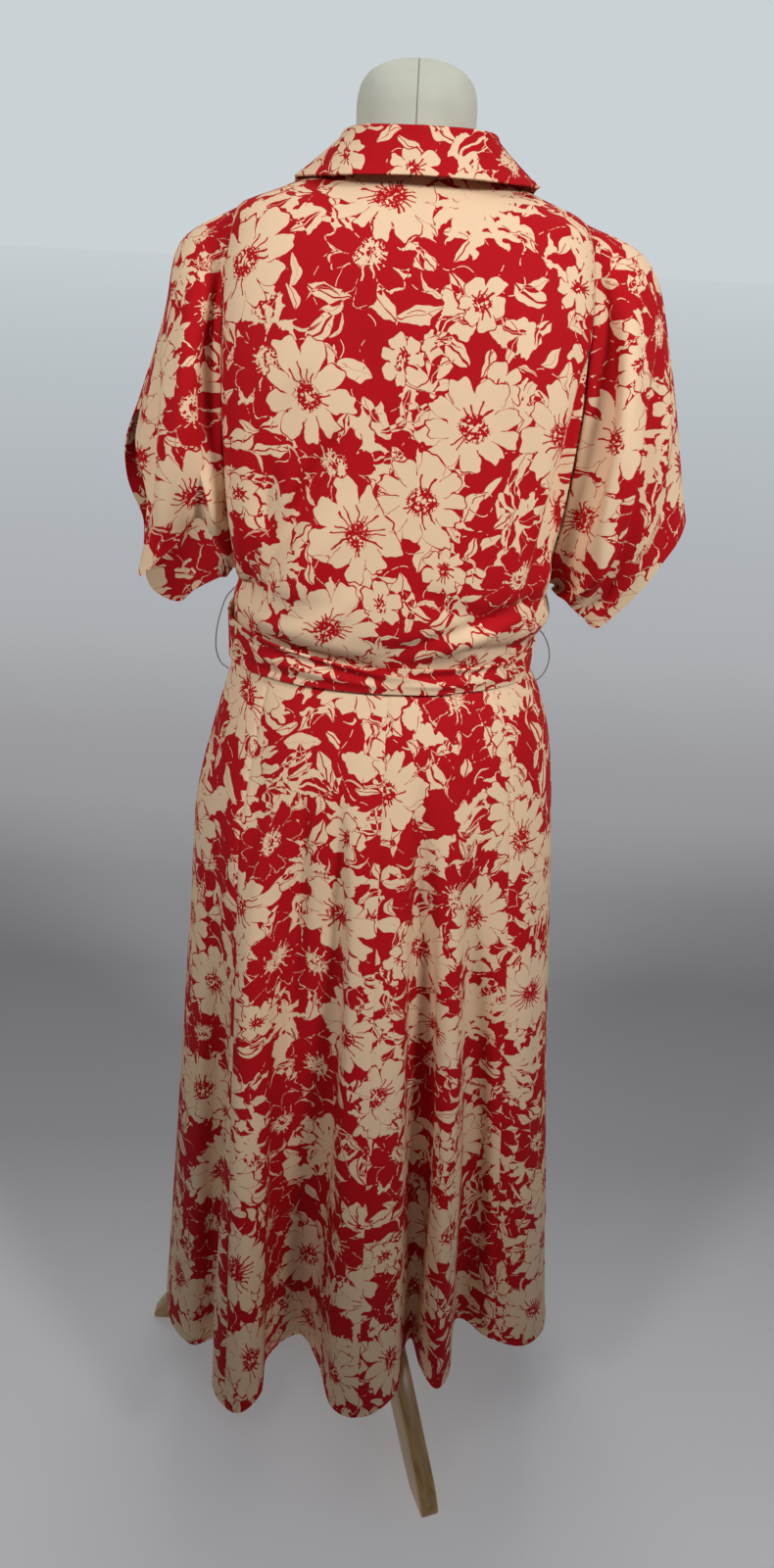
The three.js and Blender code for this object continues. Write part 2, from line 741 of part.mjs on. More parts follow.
function makeSkirt() {
  const heights = [HEM_Z, 250, 330, 420, 510, 600, 690, 770, 845, WAIST_Z - SEAM_GAP];
  const gore = (name, from, to, steps) =>
    add(name, wall(skirtPoint, spread(from, to, steps), heights, { seams: ["uLow", "uHigh"] }), crepe());
  gore("skirt_back_left_side", -0.25, -0.125, 13);
  gore("skirt_back_left", -0.125, 0, 15);
  gore("skirt_back_right", 0, 0.125, 15);
  gore("skirt_back_right_side", 0.125, 0.25, 11);
  const over = wall(skirtPoint, spread(0.25, 0.66, 41), heights, { seams: ["uLow"] });
  add("skirt_front_right", over, crepe());
  const sunk = (turn, z) => {
    const inside = UNDER_LAYER * smooth(0.745, 0.67, turn);
    return skirtPoint(turn, z).addScaledVector(facing(skirtPoint, turn, z), -inside);
  };
  add("skirt_front_left", wall(sunk, spread(0.4, 0.75, 35), heights, { seams: ["uHigh"] }), crepe());
}

// A tie round the waist, standing off the bodice by its layer
function makeTie(name, rows, off, steps) {
  const low = curve(rows, "turn", "low");
  const high = curve(rows, "turn", "high");
  const surface = (turn, w) => {
    const z = low(turn) + (high(turn) - low(turn)) * w;
    const ring = { round: bodice.round(z) };
    for (const side of ["left", "right", "back", "front"]) ring[side] = bodice[side](z) + off;
    const [x, y] = oval(turn, ring);
    return new THREE.Vector3(x, y, z);
  };
  const turns = spread(rows[0].turn, rows[rows.length - 1].turn, steps);
  add(name, wall(surface, turns, spread(0, 1, 3), { thick: TIE_CLOTH }), crepe());
}

// The knot and the two free ends that hang from it against the skirt
function makeTieEnds() {
  const ring = { round: 2.2 };
  const off = TIE_LEFT_OFF + SEAM_GAP + KNOT.deep;
  for (const side of ["left", "right", "back", "front"]) ring[side] = bodice[side](KNOT_Z) + off;
  const [x, y] = oval(KNOT_TURN, ring);
  const knot = new THREE.SphereGeometry(1, 14, 9).scale(KNOT.deep, KNOT.across, KNOT.high);
  const mesh = add("tie_knot", knot, crepe());
  mesh.position.set(x, y, KNOT_Z);
  mesh.rotation.z = Math.atan2(y, x);
  const top = KNOT_Z - KNOT.high - SEAM_GAP;
  TAILS.forEach((tail) => {
    const surface = (across, z) => {
      const fall = (top - z) / TAIL_LENGTH;
      const round = 2 * Math.PI * skirtRing.left(Math.max(z, HIP_Z));
      const turn = tail.turn + tail.spread * fall + across / round;
      const off = TAIL_OFF.top + (TAIL_OFF.low - TAIL_OFF.top) * smooth(0, 0.12, fall);
      return skirtPoint(turn, z).addScaledVector(facing(skirtPoint, turn, z), off);
    };
    const heights = spread(top - TAIL_LENGTH, top, 8);
    const widths = spread(-TIE_WIDTH / 2, TIE_WIDTH / 2, 4);
    add(tail.name, wall(surface, widths, heights, { thick: TIE_CLOTH }), crepe());
  });
}

function makeLoops() {
  const section = new THREE.Shape();
  section.absarc(0, 0, LOOP_THREAD / 2, 0, 2 * Math.PI);
  for (const [name, points] of Object.entries(LOOPS)) {
    const route = new THREE.CatmullRomCurve3(points.map((p) => new THREE.Vector3(...p)));
    const options = { extrudePath: route, steps: 14, curveSegments: 3, bevelEnabled: false };
    add(name, new THREE.ExtrudeGeometry(section, options), thread());
  }
}

function makeForm() {
  const turns = spread(0, 1, 28).slice(0, -1);
  const sections = FORM.map((row) =>
    turns.map((turn) => {
      const [x, y] = oval(turn, { ...row, left: row.half, right: row.half });
      return new THREE.Vector3(x, y, row.z);
    }),
  );
  const low = new THREE.Vector3(0, 0, FORM_BASE_Z);
  add("form_torso", loft(sections, low, new THREE.Vector3(0, 0, NECK_TOP_Z)), jersey());
}

function makeStand() {
  const poleLength = FORM_BASE_Z - SEAM_GAP - HUB_HIGH_Z - SEAM_GAP;
  const pole = new THREE.CylinderGeometry(POLE_RADIUS, POLE_RADIUS, poleLength, 24).rotateX(Math.PI / 2);
  add("form_pole", pole, steel()).position.z = HUB_HIGH_Z + SEAM_GAP + poleLength / 2;
  const hubHeight = HUB_HIGH_Z - HUB_LOW_Z;
  const hub = new THREE.CylinderGeometry(HUB_RADIUS, HUB_RADIUS, hubHeight, 36).rotateX(Math.PI / 2);
  add("form_hub", hub, beech()).position.z = HUB_LOW_Z + hubHeight / 2;
  const outline = new THREE.Shape();
  outline.moveTo(...LEG_TOP[0]);
  outline.splineThru(LEG_TOP.slice(1).map(([x, z]) => new THREE.Vector2(x, z)));
  outline.lineTo(...LEG_UNDER[0]);
  outline.lineTo(...LEG_UNDER[1]);
  outline.splineThru(LEG_UNDER.slice(2).map(([x, z]) => new THREE.Vector2(x, z)));
  LEG_TURNS.forEach((turn, i) => {
    const options = { depth: LEG_THICKNESS, bevelEnabled: false, curveSegments: 4 };
    const board = new THREE.ExtrudeGeometry(outline, options);
    board.translate(0, 0, -LEG_THICKNESS / 2).rotateX(Math.PI / 2);
    add("form_leg_" + (i + 1), board, beech()).rotation.z = (turn * Math.PI) / 180;
  });
}

makeForm();
makeStand();
makeBack();
makeFront("bodice_front_right", 1);
makeFront("bodice_front_left", -1);
makeSleeve("sleeve_left", SLEEVE_LEFT, -1);
makeSleeve("sleeve_right", SLEEVE_RIGHT, 1);
makeCollar();
makeSkirt();
makeTie("tie_right", TIE_RIGHT, TIE_RIGHT_OFF, 48);
makeTie("tie_left", TIE_LEFT, TIE_LEFT_OFF, 24);
makeTieEnds();
makeLoops();

// The middle of the floor under the part is the origin
const box = new THREE.Box3().setFromObject(part);
const middle = box.getCenter(new THREE.Vector3());
for (const mesh of part.children) mesh.position.sub(middle.setZ(box.min.z));

export default part;
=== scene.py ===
import math

import bpy
import numpy as np
from mathutils import Matrix, Vector


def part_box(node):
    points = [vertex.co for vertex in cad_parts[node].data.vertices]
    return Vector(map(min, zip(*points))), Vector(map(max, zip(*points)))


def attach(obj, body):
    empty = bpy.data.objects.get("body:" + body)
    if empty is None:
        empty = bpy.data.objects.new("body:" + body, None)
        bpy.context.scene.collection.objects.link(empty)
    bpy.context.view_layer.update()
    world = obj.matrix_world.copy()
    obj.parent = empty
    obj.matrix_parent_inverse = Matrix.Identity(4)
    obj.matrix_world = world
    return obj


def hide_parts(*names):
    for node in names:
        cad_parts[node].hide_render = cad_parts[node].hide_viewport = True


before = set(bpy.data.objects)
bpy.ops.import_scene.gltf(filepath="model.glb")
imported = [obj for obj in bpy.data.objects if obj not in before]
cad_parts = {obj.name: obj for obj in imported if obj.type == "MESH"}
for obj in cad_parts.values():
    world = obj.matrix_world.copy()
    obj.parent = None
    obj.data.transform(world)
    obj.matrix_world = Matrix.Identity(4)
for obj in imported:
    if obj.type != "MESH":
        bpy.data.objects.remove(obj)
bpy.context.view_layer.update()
scene = bpy.context.scene
bpy.ops.object.select_all(action="DESELECT")

# Photographer's camera
# It is a phone held about a metre behind the dress at shoulder height, looking down, and tilted a
# little, with a wide lens: 27 mm on a 36 mm frame.
pole_low, pole_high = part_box("form_pole")
AXIS = Vector(((pole_low.x + pole_high.x) / 2, (pole_low.y + pole_high.y) / 2, 0))
lens = bpy.data.cameras.new("camera")
lens.lens, lens.sensor_width = 27, 36
camera = bpy.data.objects.new("camera", lens)
scene.collection.objects.link(camera)
camera.location = AXIS + Vector((0.0033, -1.074, 1.27))
look_down, tilt = Matrix.Rotation(math.radians(65), 3, "X"), Matrix.Rotation(math.radians(2.9), 3, "Z")
camera.rotation_euler = (look_down @ tilt).to_euler()
scene.camera = camera

# Thread belt loops at the side seams
# Each is a chain of grey sewing thread, fastened under the sleeve and below the waist seam, and it
# bows outwards where the tie no longer fills it.
MM = 0.001
LOOP_THREAD = 1.2
LOOPS = {
    "loop_left": [(-148.2, -5, 966), (-157, -6, 954), (-164, -8, 930), (-166, -8, 908), (-162, -7, 893),
                  (-154.4, -6, 886)],
    "loop_right": [(137.6, -4, 941), (144, -6, 935), (150, -7, 922), (151, -7, 908), (147, -6, 896),
                   (141.4, -4, 889)],
}


def linear(code):
    """sRGB hex colour as linear red, green, blue and 1."""
    parts = [int(code[i : i + 2], 16) / 255 for i in (0, 2, 4)]
    return [c / 12.92 if c <= 0.04045 else ((c + 0.055) / 1.055) ** 2.4 for c in parts] + [1]


def add(tree, kind, *values, sockets=(), **settings):
    """Adds a node with its settings, fills its sockets in order and by name, and gives its outputs."""
    node = tree.nodes.new("ShaderNode" + kind)
    for name, value in settings.items():
        setattr(node, name, value)
    for key, value in list(enumerate(values)) + list(dict(sockets).items()):
        if isinstance(value, bpy.types.NodeSocket):
            tree.links.new(value, node.inputs[key])
        elif value is not None:
            node.inputs[key].default_value = value
    return node.outputs


def new_material(name):
    material = bpy.data.materials.new(name)
    material.use_nodes = True
    material.node_tree.nodes.clear()
    return material, material.node_tree


# Polyester sewing thread: dull, with the twist showing as fine diagonal ribs
sewing_thread, tree = new_material("polyester_thread")
place = add(tree, "TexCoord")["Object"]
twist = add(tree, "TexWave", sockets={"Vector": place, "Scale": 900}, bands_direction="DIAGONAL")
bump = add(tree, "Bump", sockets={"Height": twist["Fac"], "Strength": 0.5, "Distance": 0.0002})[0]
tone = add(tree, "Mix", twist["Fac"], data_type="RGBA",
           sockets={6: linear("77756E"), 7: linear("A5A39B")})[2]
surface = add(tree, "BsdfPrincipled", sockets={"Base Color": tone, "Roughness": 0.7, "Normal": bump})[0]
add(tree, "OutputMaterial", surface)


def through(stops):
    """A smooth line through these places, with eight steps from each to the next."""
    stops, t = np.array(stops, float), np.arange(0, 1, 0.125)[:, None]
    ends = np.vstack([2 * stops[0] - stops[1], stops, 2 * stops[-1] - stops[-2]])
    parts = [0.5 * (2 * b + (c - a) * t + (2 * a - 5 * b + 4 * c - d) * t**2 + (3 * b - a - 3 * c + d) * t**3)
             for a, b, c, d in zip(ends, ends[1:], ends[2:], ends[3:])]
    return np.vstack(parts + [stops[-1:]])


for name, stops in LOOPS.items():
    route = through(stops) * MM + np.array(AXIS)
    strand = bpy.data.curves.new(name + "_thread", "CURVE")
    strand.dimensions, strand.bevel_depth, strand.bevel_resolution = "3D", LOOP_THREAD / 2 * MM, 2
    strand.use_fill_caps = True
    line = strand.splines.new("POLY")
    line.points.add(len(route) - 1)
    line.points.foreach_set("co", np.c_[route, np.ones(len(route))].ravel())
    strand.materials.append(sewing_thread)
    belt_loop = bpy.data.objects.new(name + "_thread", strand)
    scene.collection.objects.link(belt_loop)
    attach(belt_loop, "root")
    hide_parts(name)

# Bodice: one back and two fronts that wrap over each other
# Fine viscose crepe, cut wide at the shoulders and bloused over the tie. The front's edges run from
# the neck point down to the waist on the other side.
CLOTH = 1.6
WAIST_Z, UNDERARM_Z, SHOULDER_Z, NECK_Z = 903, 985, 1287, 1322
ARMHOLE_BACK, ARMHOLE_FRONT, ARMHOLE_ROUND = 61, 55, 2.5
ARMHOLE_MID, ARMHOLE_HALF = (UNDERARM_Z + SHOULDER_Z) / 2, (SHOULDER_Z - UNDERARM_Z) / 2
UNDER_LAYER = 3


def table(columns, rows):
    return {name: np.array([row[i] for row in rows], float) for i, name in enumerate(columns)}


BODICE = table(
    ["z", "left", "right", "back", "front", "round", "drop"],
    [[903, 148, 131, 96, 106, 2.2, 0], [925, 148, 132, 98, 107, 2.2, 0], [942, 148, 137, 103, 111, 2.3, 0],
     [960, 148, 146, 111, 119, 2.4, 0], [985, 142, 140, 112, 126, 2.6, 0], [1015, 143, 139, 112, 130, 2.7, 0],
     [1050, 146, 143, 112, 133, 2.6, 0], [1100, 148, 147, 112, 134, 2.5, 0], [1150, 149, 150, 112, 128, 2.4, 0],
     [1200, 148, 150, 110, 114, 2.3, 0], [1240, 146, 149, 104, 92, 2.3, 0], [1268, 143, 146, 95, 70, 2.3, 0],
     [1287, 140, 140, 85, 53, 2.4, 1], [1300, 110, 110, 77, 46, 2.3, 3], [1312, 80, 80, 70, 42, 2.2, 6],
     [1322, 57, 57, 63, 39, 2.1, 8]],
)
WRAP_EDGE = table(["z", "x"], [[903, -118], [985, -96], [1080, -48], [1170, 0], [1240, 32], [1292, 51],
                               [1320, 55]])


def hermite(x0, x1, y0, y1, m0, m1, x):
    h = x1 - x0
    t = (x - x0) / h
    a, b, c = 2 * t**3 - 3 * t**2 + 1, t**3 - 2 * t**2 + t, t**3 - t**2
    return a * y0 + b * h * m0 + (1 - a) * y1 + c * h * m1


def curve(rows, key, column):
    """Smooth curve through a table's column, held flat beyond its ends."""
    xs, ys = rows[key], rows[column]
    step = np.diff(ys) / np.diff(xs)
    slope = np.r_[step[0], step[:-1], step[-1]]
    product, total = step[:-1] * step[1:], step[:-1] + step[1:]
    slope[1:-1] = np.where(product > 0, 2 * product / np.where(product > 0, total, 1), 0)

    def at(x):
        x = np.clip(x, xs[0], xs[-1])
        i = np.clip(np.searchsorted(xs, x, side="right") - 1, 0, len(xs) - 2)
        return hermite(xs[i], xs[i + 1], ys[i], ys[i + 1], slope[i], slope[i + 1], x)

    return at


def loop(rows, column):
    """Smooth closed curve through a table's column, over its turns."""
    first = rows["turn"][0]
    turn = np.r_[rows["turn"][-2:] - 1, rows["turn"], rows["turn"][:3] + 1]
    value = np.r_[rows[column][-2:], rows[column], rows[column][:3]]
    slope = (value[2:] - value[:-2]) / (turn[2:] - turn[:-2])

    def at(t):
        x = t - np.floor(t - first)
        i = np.searchsorted(turn, x, side="right") - 1
        return hermite(turn[i], turn[i + 1], value[i], value[i + 1], slope[i - 1], slope[i], x)

    return at


def smooth(low, high, x):
    t = np.clip((x - low) / (high - low), 0, 1)
    return t * t * (3 - 2 * t)


def corner(angle, half, depth, rounding):
    s, c = np.sin(angle), np.cos(angle)
    reach = (np.abs(s) ** rounding + np.abs(c) ** rounding) ** (-1 / rounding)
    return half * s * reach, depth * c * reach


bodice = {name: curve(BODICE, "z", name) for name in ("left", "right", "back", "front", "round", "drop")}


def armhole(z, depth):
    t = np.minimum(1, np.abs(z - ARMHOLE_MID) / ARMHOLE_HALF)
    return depth * (1 - t**ARMHOLE_ROUND) ** (1 / ARMHOLE_ROUND)


def back_point(across, z):
    half = np.where(across < 0, bodice["left"](z), bodice["right"](z))
    fold = armhole(z, ARMHOLE_BACK)
    x, y = corner(np.abs(across) * math.pi / 2, half, bodice["back"](z) - fold, bodice["round"](z))
    middle = np.cos(across * math.pi / 2) ** 2
    return np.stack([np.sign(across) * x, -fold - y, z - bodice["drop"](z) * middle], -1)


def front_point(across, z):
    half = np.where(across < 0, bodice["right"](z), bodice["left"](z))
    fold = armhole(z, ARMHOLE_FRONT)
    x, y = corner(np.abs(across) * math.pi / 2, half, bodice["front"](z) - fold, bodice["round"](z))
    return np.stack([-np.sign(across) * x, fold + y, z + 0 * x], -1)


def wrap_across(z):
    """Where the edge of the right front lies across the chest at each height."""
    wrap_x = curve(WRAP_EDGE, "z", "x")(z)
    low, high = -np.ones_like(z), np.ones_like(z)
    for _ in range(30):
        mid = (low + high) / 2
        outside = front_point(mid, z)[..., 0] > wrap_x
        low, high = np.where(outside, mid, low), np.where(outside, high, mid)
    return (low + high) / 2


def facing(points):
    """Direction that each point of a grid faces: its columns go round and its rows go up."""
    normal = np.cross(np.gradient(points, axis=1), np.gradient(points, axis=0))
    return normal / np.maximum(np.linalg.norm(normal, axis=2, keepdims=True), 1e-9)


def arcs(points, axis):
    """Distance of each point of a grid from the start of its row or column."""
    step = np.linalg.norm(np.diff(points, axis=axis), axis=2)
    return np.concatenate([np.zeros_like(np.take(step, [0], axis)), np.cumsum(step, axis)], axis)


def spaced(low, high, step, fine=()):
    """Even steps from low to high, with extra ones at these distances from an end."""
    even = np.linspace(low, high, max(2, round((high - low) / step) + 1))
    extra = [low + f if f >= 0 else high + f for f in fine]
    return np.unique(np.round(np.r_[even[(np.abs(even[:, None] - extra) > step / 4).all(1)
                                         | (even == low) | (even == high)] if extra else even, extra], 6))


# Creases as soft troughs, or ridges where deep is negative. Each runs through three places across
# and up the dress, on its back (-1) or front (1), and fades out towards its ends.
CREASE = ["face", "x0", "z0", "x1", "z1", "x2", "z2", "wide", "deep"]


def creased(points, rows, share=1):
    """A grid pushed in along its creases, or only by a share of them."""
    rows = table(CREASE, rows)
    normal, push = facing(points), np.zeros(points.shape[:2])
    t = np.linspace(0, 1, 97)
    for k in range(len(rows["face"])):
        x0, x1, x2 = (rows[c][k] for c in ("x0", "x1", "x2"))
        z0, z1, z2 = (rows[c][k] for c in ("z0", "z1", "z2"))
        bend_x, bend_z = 2 * x1 - (x0 + x2) / 2, 2 * z1 - (z0 + z2) / 2
        path_x = (1 - t) ** 2 * x0 + 2 * t * (1 - t) * bend_x + t**2 * x2
        path_z = (1 - t) ** 2 * z0 + 2 * t * (1 - t) * bend_z + t**2 * z2
        far = (points[..., 0, None] - path_x) ** 2 + (points[..., 2, None] - path_z) ** 2
        far = far / (rows["wide"][k] * (0.35 + 0.65 * np.sin(math.pi * t) ** 0.6)) ** 2
        near = far.argmin(2)
        strength = np.exp(-far.min(2)) * np.sin(math.pi * np.clip(t[near], 0.02, 0.98)) ** 0.7
        side = smooth(-5, 15, points[..., 1] * rows["face"][k])
        push += rows["deep"][k] * strength * side
    return points - normal * (push * share)[..., None]


def sewn(points, seams=(), hems=()):
    """A grid whose seam edges roll in and whose hems are a fold thicker, with a line of stitches."""
    normal, push = facing(points), np.zeros(points.shape[:2])
    for edge in list(seams) + list(hems):
        axis = 1 if edge[0] == "u" else 0
        along = arcs(points, axis)
        if edge.endswith("High"):
            along = np.take(along, [-1], axis) - along
        if edge in seams:
            push += 1.1 * np.exp(-((along / 2.2) ** 2))
        else:
            push += 0.5 * np.exp(-(((along - 9) / 1.2) ** 2)) - 0.35 * smooth(10, 8, along)
    return points - normal * push[..., None]


def cloth(name, panels, thick=CLOTH, plain=None):
    """One piece of cloth from grids of points in millimetres, with its print laid on in metres.

    Where its grids before creasing are given, the print is flattened out from those.
    """
    verts, faces, corners = [], [], []
    start = 0
    for points, flat in panels:
        rows, columns = points.shape[:2]
        verts.append(points.reshape(-1, 3))
        index = np.arange(rows * columns).reshape(rows, columns)
        quads = np.stack([index[:-1, :-1], index[:-1, 1:], index[1:, 1:], index[1:, :-1]], -1).reshape(-1, 4)
        faces.extend((quads + start).tolist())
        corners.append(flat.reshape(-1, 2)[quads.ravel()])
        start += rows * columns
    verts = np.vstack(verts) * MM + np.array(AXIS)
    first = verts if plain is None else np.vstack([grid.reshape(-1, 3) for grid in plain]) * MM
    mesh = bpy.data.meshes.new(name)
    mesh.from_pydata([tuple(v) for v in first], [], faces)
    piece = bpy.data.objects.new(name, mesh)
    scene.collection.objects.link(piece)
    layer = mesh.uv_layers.new(name="cut")
    layer.data.foreach_set("uv", np.concatenate(corners).astype(np.float32).ravel())
    bpy.ops.object.select_all(action="DESELECT")
    piece.select_set(True)
    bpy.context.view_layer.objects.active = piece
    bpy.ops.object.mode_set(mode="EDIT")
    bpy.ops.mesh.select_all(action="SELECT")
    if plain is not None:
        bpy.ops.uv.unwrap(method="CONFORMAL", margin=0)
        bpy.ops.object.mode_set(mode="OBJECT")
        real_size(mesh, [p[0].shape[0] * p[0].shape[1] for p in panels], np.concatenate(corners))
        mesh.vertices.foreach_set("co", verts.astype(np.float32).ravel())
        mesh.update()
        bpy.ops.object.mode_set(mode="EDIT")
    bpy.ops.mesh.remove_doubles(threshold=1e-5)
    bpy.ops.object.mode_set(mode="OBJECT")
    solid = piece.modifiers.new("thickness", "SOLIDIFY")
    solid.thickness, solid.offset, solid.use_even_offset = thick * MM, -1, False
    bpy.ops.object.modifier_apply(modifier="thickness")
    bpy.ops.object.shade_smooth_by_angle(angle=math.radians(50))
    return piece


def real_size(mesh, counts, wanted):
    """Brings each flattened panel to real size, and turns it the way that it should lie."""
    layer = mesh.uv_layers["cut"]
    found, place = np.empty(len(layer.data) * 2, np.float32), np.empty(len(mesh.vertices) * 3, np.float32)
    corner_vert = np.empty(len(mesh.loops), np.int32)
    layer.data.foreach_get("uv", found)
    mesh.vertices.foreach_get("co", place)
    mesh.loops.foreach_get("vertex_index", corner_vert)
    found, place = found.reshape(-1, 2).astype(float), place.reshape(-1, 3).astype(float)
    first = 0
    for count in counts:
        own = (corner_vert >= first) & (corner_vert < first + count)
        a, b = found[own], wanted[own]
        real = np.linalg.norm(np.diff(place[corner_vert[own]].reshape(-1, 4, 3), axis=1), axis=2).sum()
        scale = real / np.linalg.norm(np.diff(a.reshape(-1, 4, 2), axis=1), axis=2).sum()
        u, s, vt = np.linalg.svd((a - a.mean(0)).T @ (b - b.mean(0)))
        found[own] = (a - a.mean(0)) @ (u @ vt) * scale + b.mean(0)
        first += count
    layer.data.foreach_set("uv", found.astype(np.float32).ravel())


# The crepe's print: big cream daisies and darker flowers with cream outlines over leaves, sprays
# and small flowers, on a red ground. It is laid out by chance in cells of real size, in metres.
crepe, tree = new_material("viscose_crepe_floral")
cut = add(tree, "UVMap", uv_map="cut")[0]
wander = add(tree, "TexNoise", sockets={"Vector": cut, "Scale": 45, "Detail": 2}, noise_dimensions="2D")["Color"]
wander = add(tree, "VectorMath", wander, (0.5, 0.5, 0.5), operation="SUBTRACT")[0]
wander = add(tree, "VectorMath", wander, (0.012, 0.012, 0), operation="MULTIPLY")[0]
drawn = add(tree, "VectorMath", cut, wander, operation="ADD")[0]
grain = add(tree, "TexNoise", sockets={"Vector": cut, "Scale": 330, "Detail": 1}, noise_dimensions="2D")[0]


def cells(tree, point, size, offset, randomness):
    """Cells of that size: the place in a cell from its middle, turned by chance, and three numbers."""
    moved = add(tree, "VectorMath", point, (offset, offset * 0.7, 0), operation="ADD")[0]
    cell = add(tree, "TexVoronoi", voronoi_dimensions="2D",
               sockets={"Vector": moved, "Scale": 1 / size, "Randomness": randomness})
    away = add(tree, "VectorMath", moved, cell["Position"], operation="SUBTRACT")[0]
    chance = add(tree, "SeparateColor", cell["Color"])
    spin = add(tree, "Math", chance[0], 6.283, operation="MULTIPLY")[0]
    turned = add(tree, "VectorRotate", rotation_type="Z_AXIS", sockets={"Vector": away, "Angle": spin})[0]
    return turned, chance


def math_node(tree, operation, *values):
    return add(tree, "Math", *values, operation=operation)[0]


def flower(tree, place, chance, radius, petals, slim=None):
    """A flower's petals with their outline, the lines in and round them, and its eye, each 0 or 1."""
    squashed = add(tree, "VectorMath", place, (1, 1.18, 1), operation="MULTIPLY")[0]
    xyz = add(tree, "SeparateXYZ", squashed)
    reach = add(tree, "VectorMath", squashed, operation="LENGTH")["Value"]
    angle = math_node(tree, "ARCTAN2", xyz[1], xyz[0])
    count = math_node(tree, "FLOOR", math_node(tree, "MULTIPLY_ADD", chance[1], 3, petals))
    turns = math_node(tree, "DIVIDE", math_node(tree, "MULTIPLY", angle, count), 6.28319)
    part = math_node(tree, "SUBTRACT", math_node(tree, "FRACT", turns), 0.5)
    aside = math_node(tree, "ABSOLUTE", part)
    which = math_node(tree, "FLOORED_MODULO", math_node(tree, "FLOOR", turns), count)
    which = math_node(tree, "MULTIPLY_ADD", chance[0], 71, which)
    own = add(tree, "TexWhiteNoise", noise_dimensions="1D", sockets={"W": which})[0]
    length = math_node(tree, "MULTIPLY_ADD", own, 0.3 * radius, 0.82 * radius)
    tip = math_node(tree, "POWER", aside, 2.6)
    tip = math_node(tree, "MULTIPLY_ADD", tip, -2.1 if slim is None else -1, 1)
    notch = math_node(tree, "COSINE", math_node(tree, "MULTIPLY", part, 12.566))
    tip = math_node(tree, "MULTIPLY_ADD", notch, -0.04, tip)
    edge = math_node(tree, "MULTIPLY", length, tip)
    if slim is not None:
        petal = math_node(tree, "LESS_THAN", reach, edge)
        taper = math_node(tree, "MULTIPLY_ADD", math_node(tree, "DIVIDE", reach, edge), -slim, slim)
        return math_node(tree, "MULTIPLY", petal, math_node(tree, "LESS_THAN", aside, taper))
    petal = math_node(tree, "LESS_THAN", reach, math_node(tree, "ADD", edge, 0.0014))
    rim = math_node(tree, "GREATER_THAN", reach, edge)
    arc = math_node(tree, "MULTIPLY", math_node(tree, "DIVIDE", reach, count), 6.283)
    between = math_node(tree, "MULTIPLY", math_node(tree, "SUBTRACT", 0.5, aside), arc)
    inner = math_node(tree, "MULTIPLY_ADD", own, 0.4 * radius, 0.4 * radius)
    parted = math_node(tree, "MULTIPLY", math_node(tree, "LESS_THAN", between, 0.0007),
                       math_node(tree, "GREATER_THAN", reach, inner))
    vein = math_node(tree, "SUBTRACT", aside, math_node(tree, "MULTIPLY", own, 0.32))
    vein = math_node(tree, "MULTIPLY", math_node(tree, "ABSOLUTE", vein), arc)
    vein = math_node(tree, "LESS_THAN", vein, 0.0007)
    short = math_node(tree, "MULTIPLY_ADD", own, 0.42 * radius, 0.18 * radius)
    vein = math_node(tree, "MULTIPLY", vein, math_node(tree, "LESS_THAN", reach, short))
    vein = math_node(tree, "MULTIPLY", vein, math_node(tree, "GREATER_THAN", own, 0.45))
    lines = math_node(tree, "MAXIMUM", math_node(tree, "MAXIMUM", parted, vein), rim)
    ragged = math_node(tree, "MULTIPLY_ADD", grain, 0.3 * radius, reach)
    eye = math_node(tree, "LESS_THAN", ragged, 0.45 * radius)
    seeds = math_node(tree, "GREATER_THAN", grain, 0.43)
    pupil = math_node(tree, "GREATER_THAN", reach, 0.09 * radius)
    return petal, lines, math_node(tree, "MULTIPLY", eye, math_node(tree, "MULTIPLY", seeds, pupil))


def over(tree, under, cream, mask):
    """Cream or red of one layer of the print laid over another where its mask is 1."""
    return add(tree, "Mix", mask, data_type="FLOAT", sockets={2: under, 3: cream})[0]


# Ground of red with ragged cream islands, and leaves of the other colour
rough = add(tree, "TexNoise", sockets={"Vector": cut, "Scale": 150, "Detail": 1}, noise_dimensions="2D")["Color"]
rough = add(tree, "VectorMath", rough, (0.5, 0.5, 0.5), operation="SUBTRACT")[0]
rough = add(tree, "VectorMath", rough, (0.007, 0.007, 0), operation="MULTIPLY")[0]
torn = add(tree, "VectorMath", drawn, rough, operation="ADD")[0]
isle = add(tree, "TexNoise", noise_dimensions="2D", sockets={"Vector": torn, "Scale": 24, "Detail": 2})[0]
ink = math_node(tree, "GREATER_THAN", isle, 0.6)
for size, offset, bend, wide, least in ((0.036, 1.3, 13, 0.0072, 0.25), (0.024, 5.2, 20, 0.004, 0.35),
                                        (0.03, 9.6, 45, 0.0015, 0.55)):
    spot, chance = cells(tree, drawn, size, offset, 0.95)
    xyz = add(tree, "SeparateXYZ", spot)
    bow = math_node(tree, "POWER", xyz[0], 2)
    side = math_node(tree, "ABSOLUTE", math_node(tree, "MULTIPLY_ADD", bow, bend, xyz[1]))
    half_wide = math_node(tree, "MULTIPLY_ADD", bow, -16 * wide / size**2 * 0.3, wide)
    leaf = math_node(tree, "LESS_THAN", side, half_wide)
    vein = math_node(tree, "GREATER_THAN", side, math_node(tree, "MULTIPLY", chance[1], 0.17 * wide))
    leaf = math_node(tree, "MULTIPLY", leaf, vein)
    leaf = math_node(tree, "MULTIPLY", leaf, math_node(tree, "GREATER_THAN", chance[2], least))
    ink = math_node(tree, "ABSOLUTE", math_node(tree, "SUBTRACT", ink, leaf))
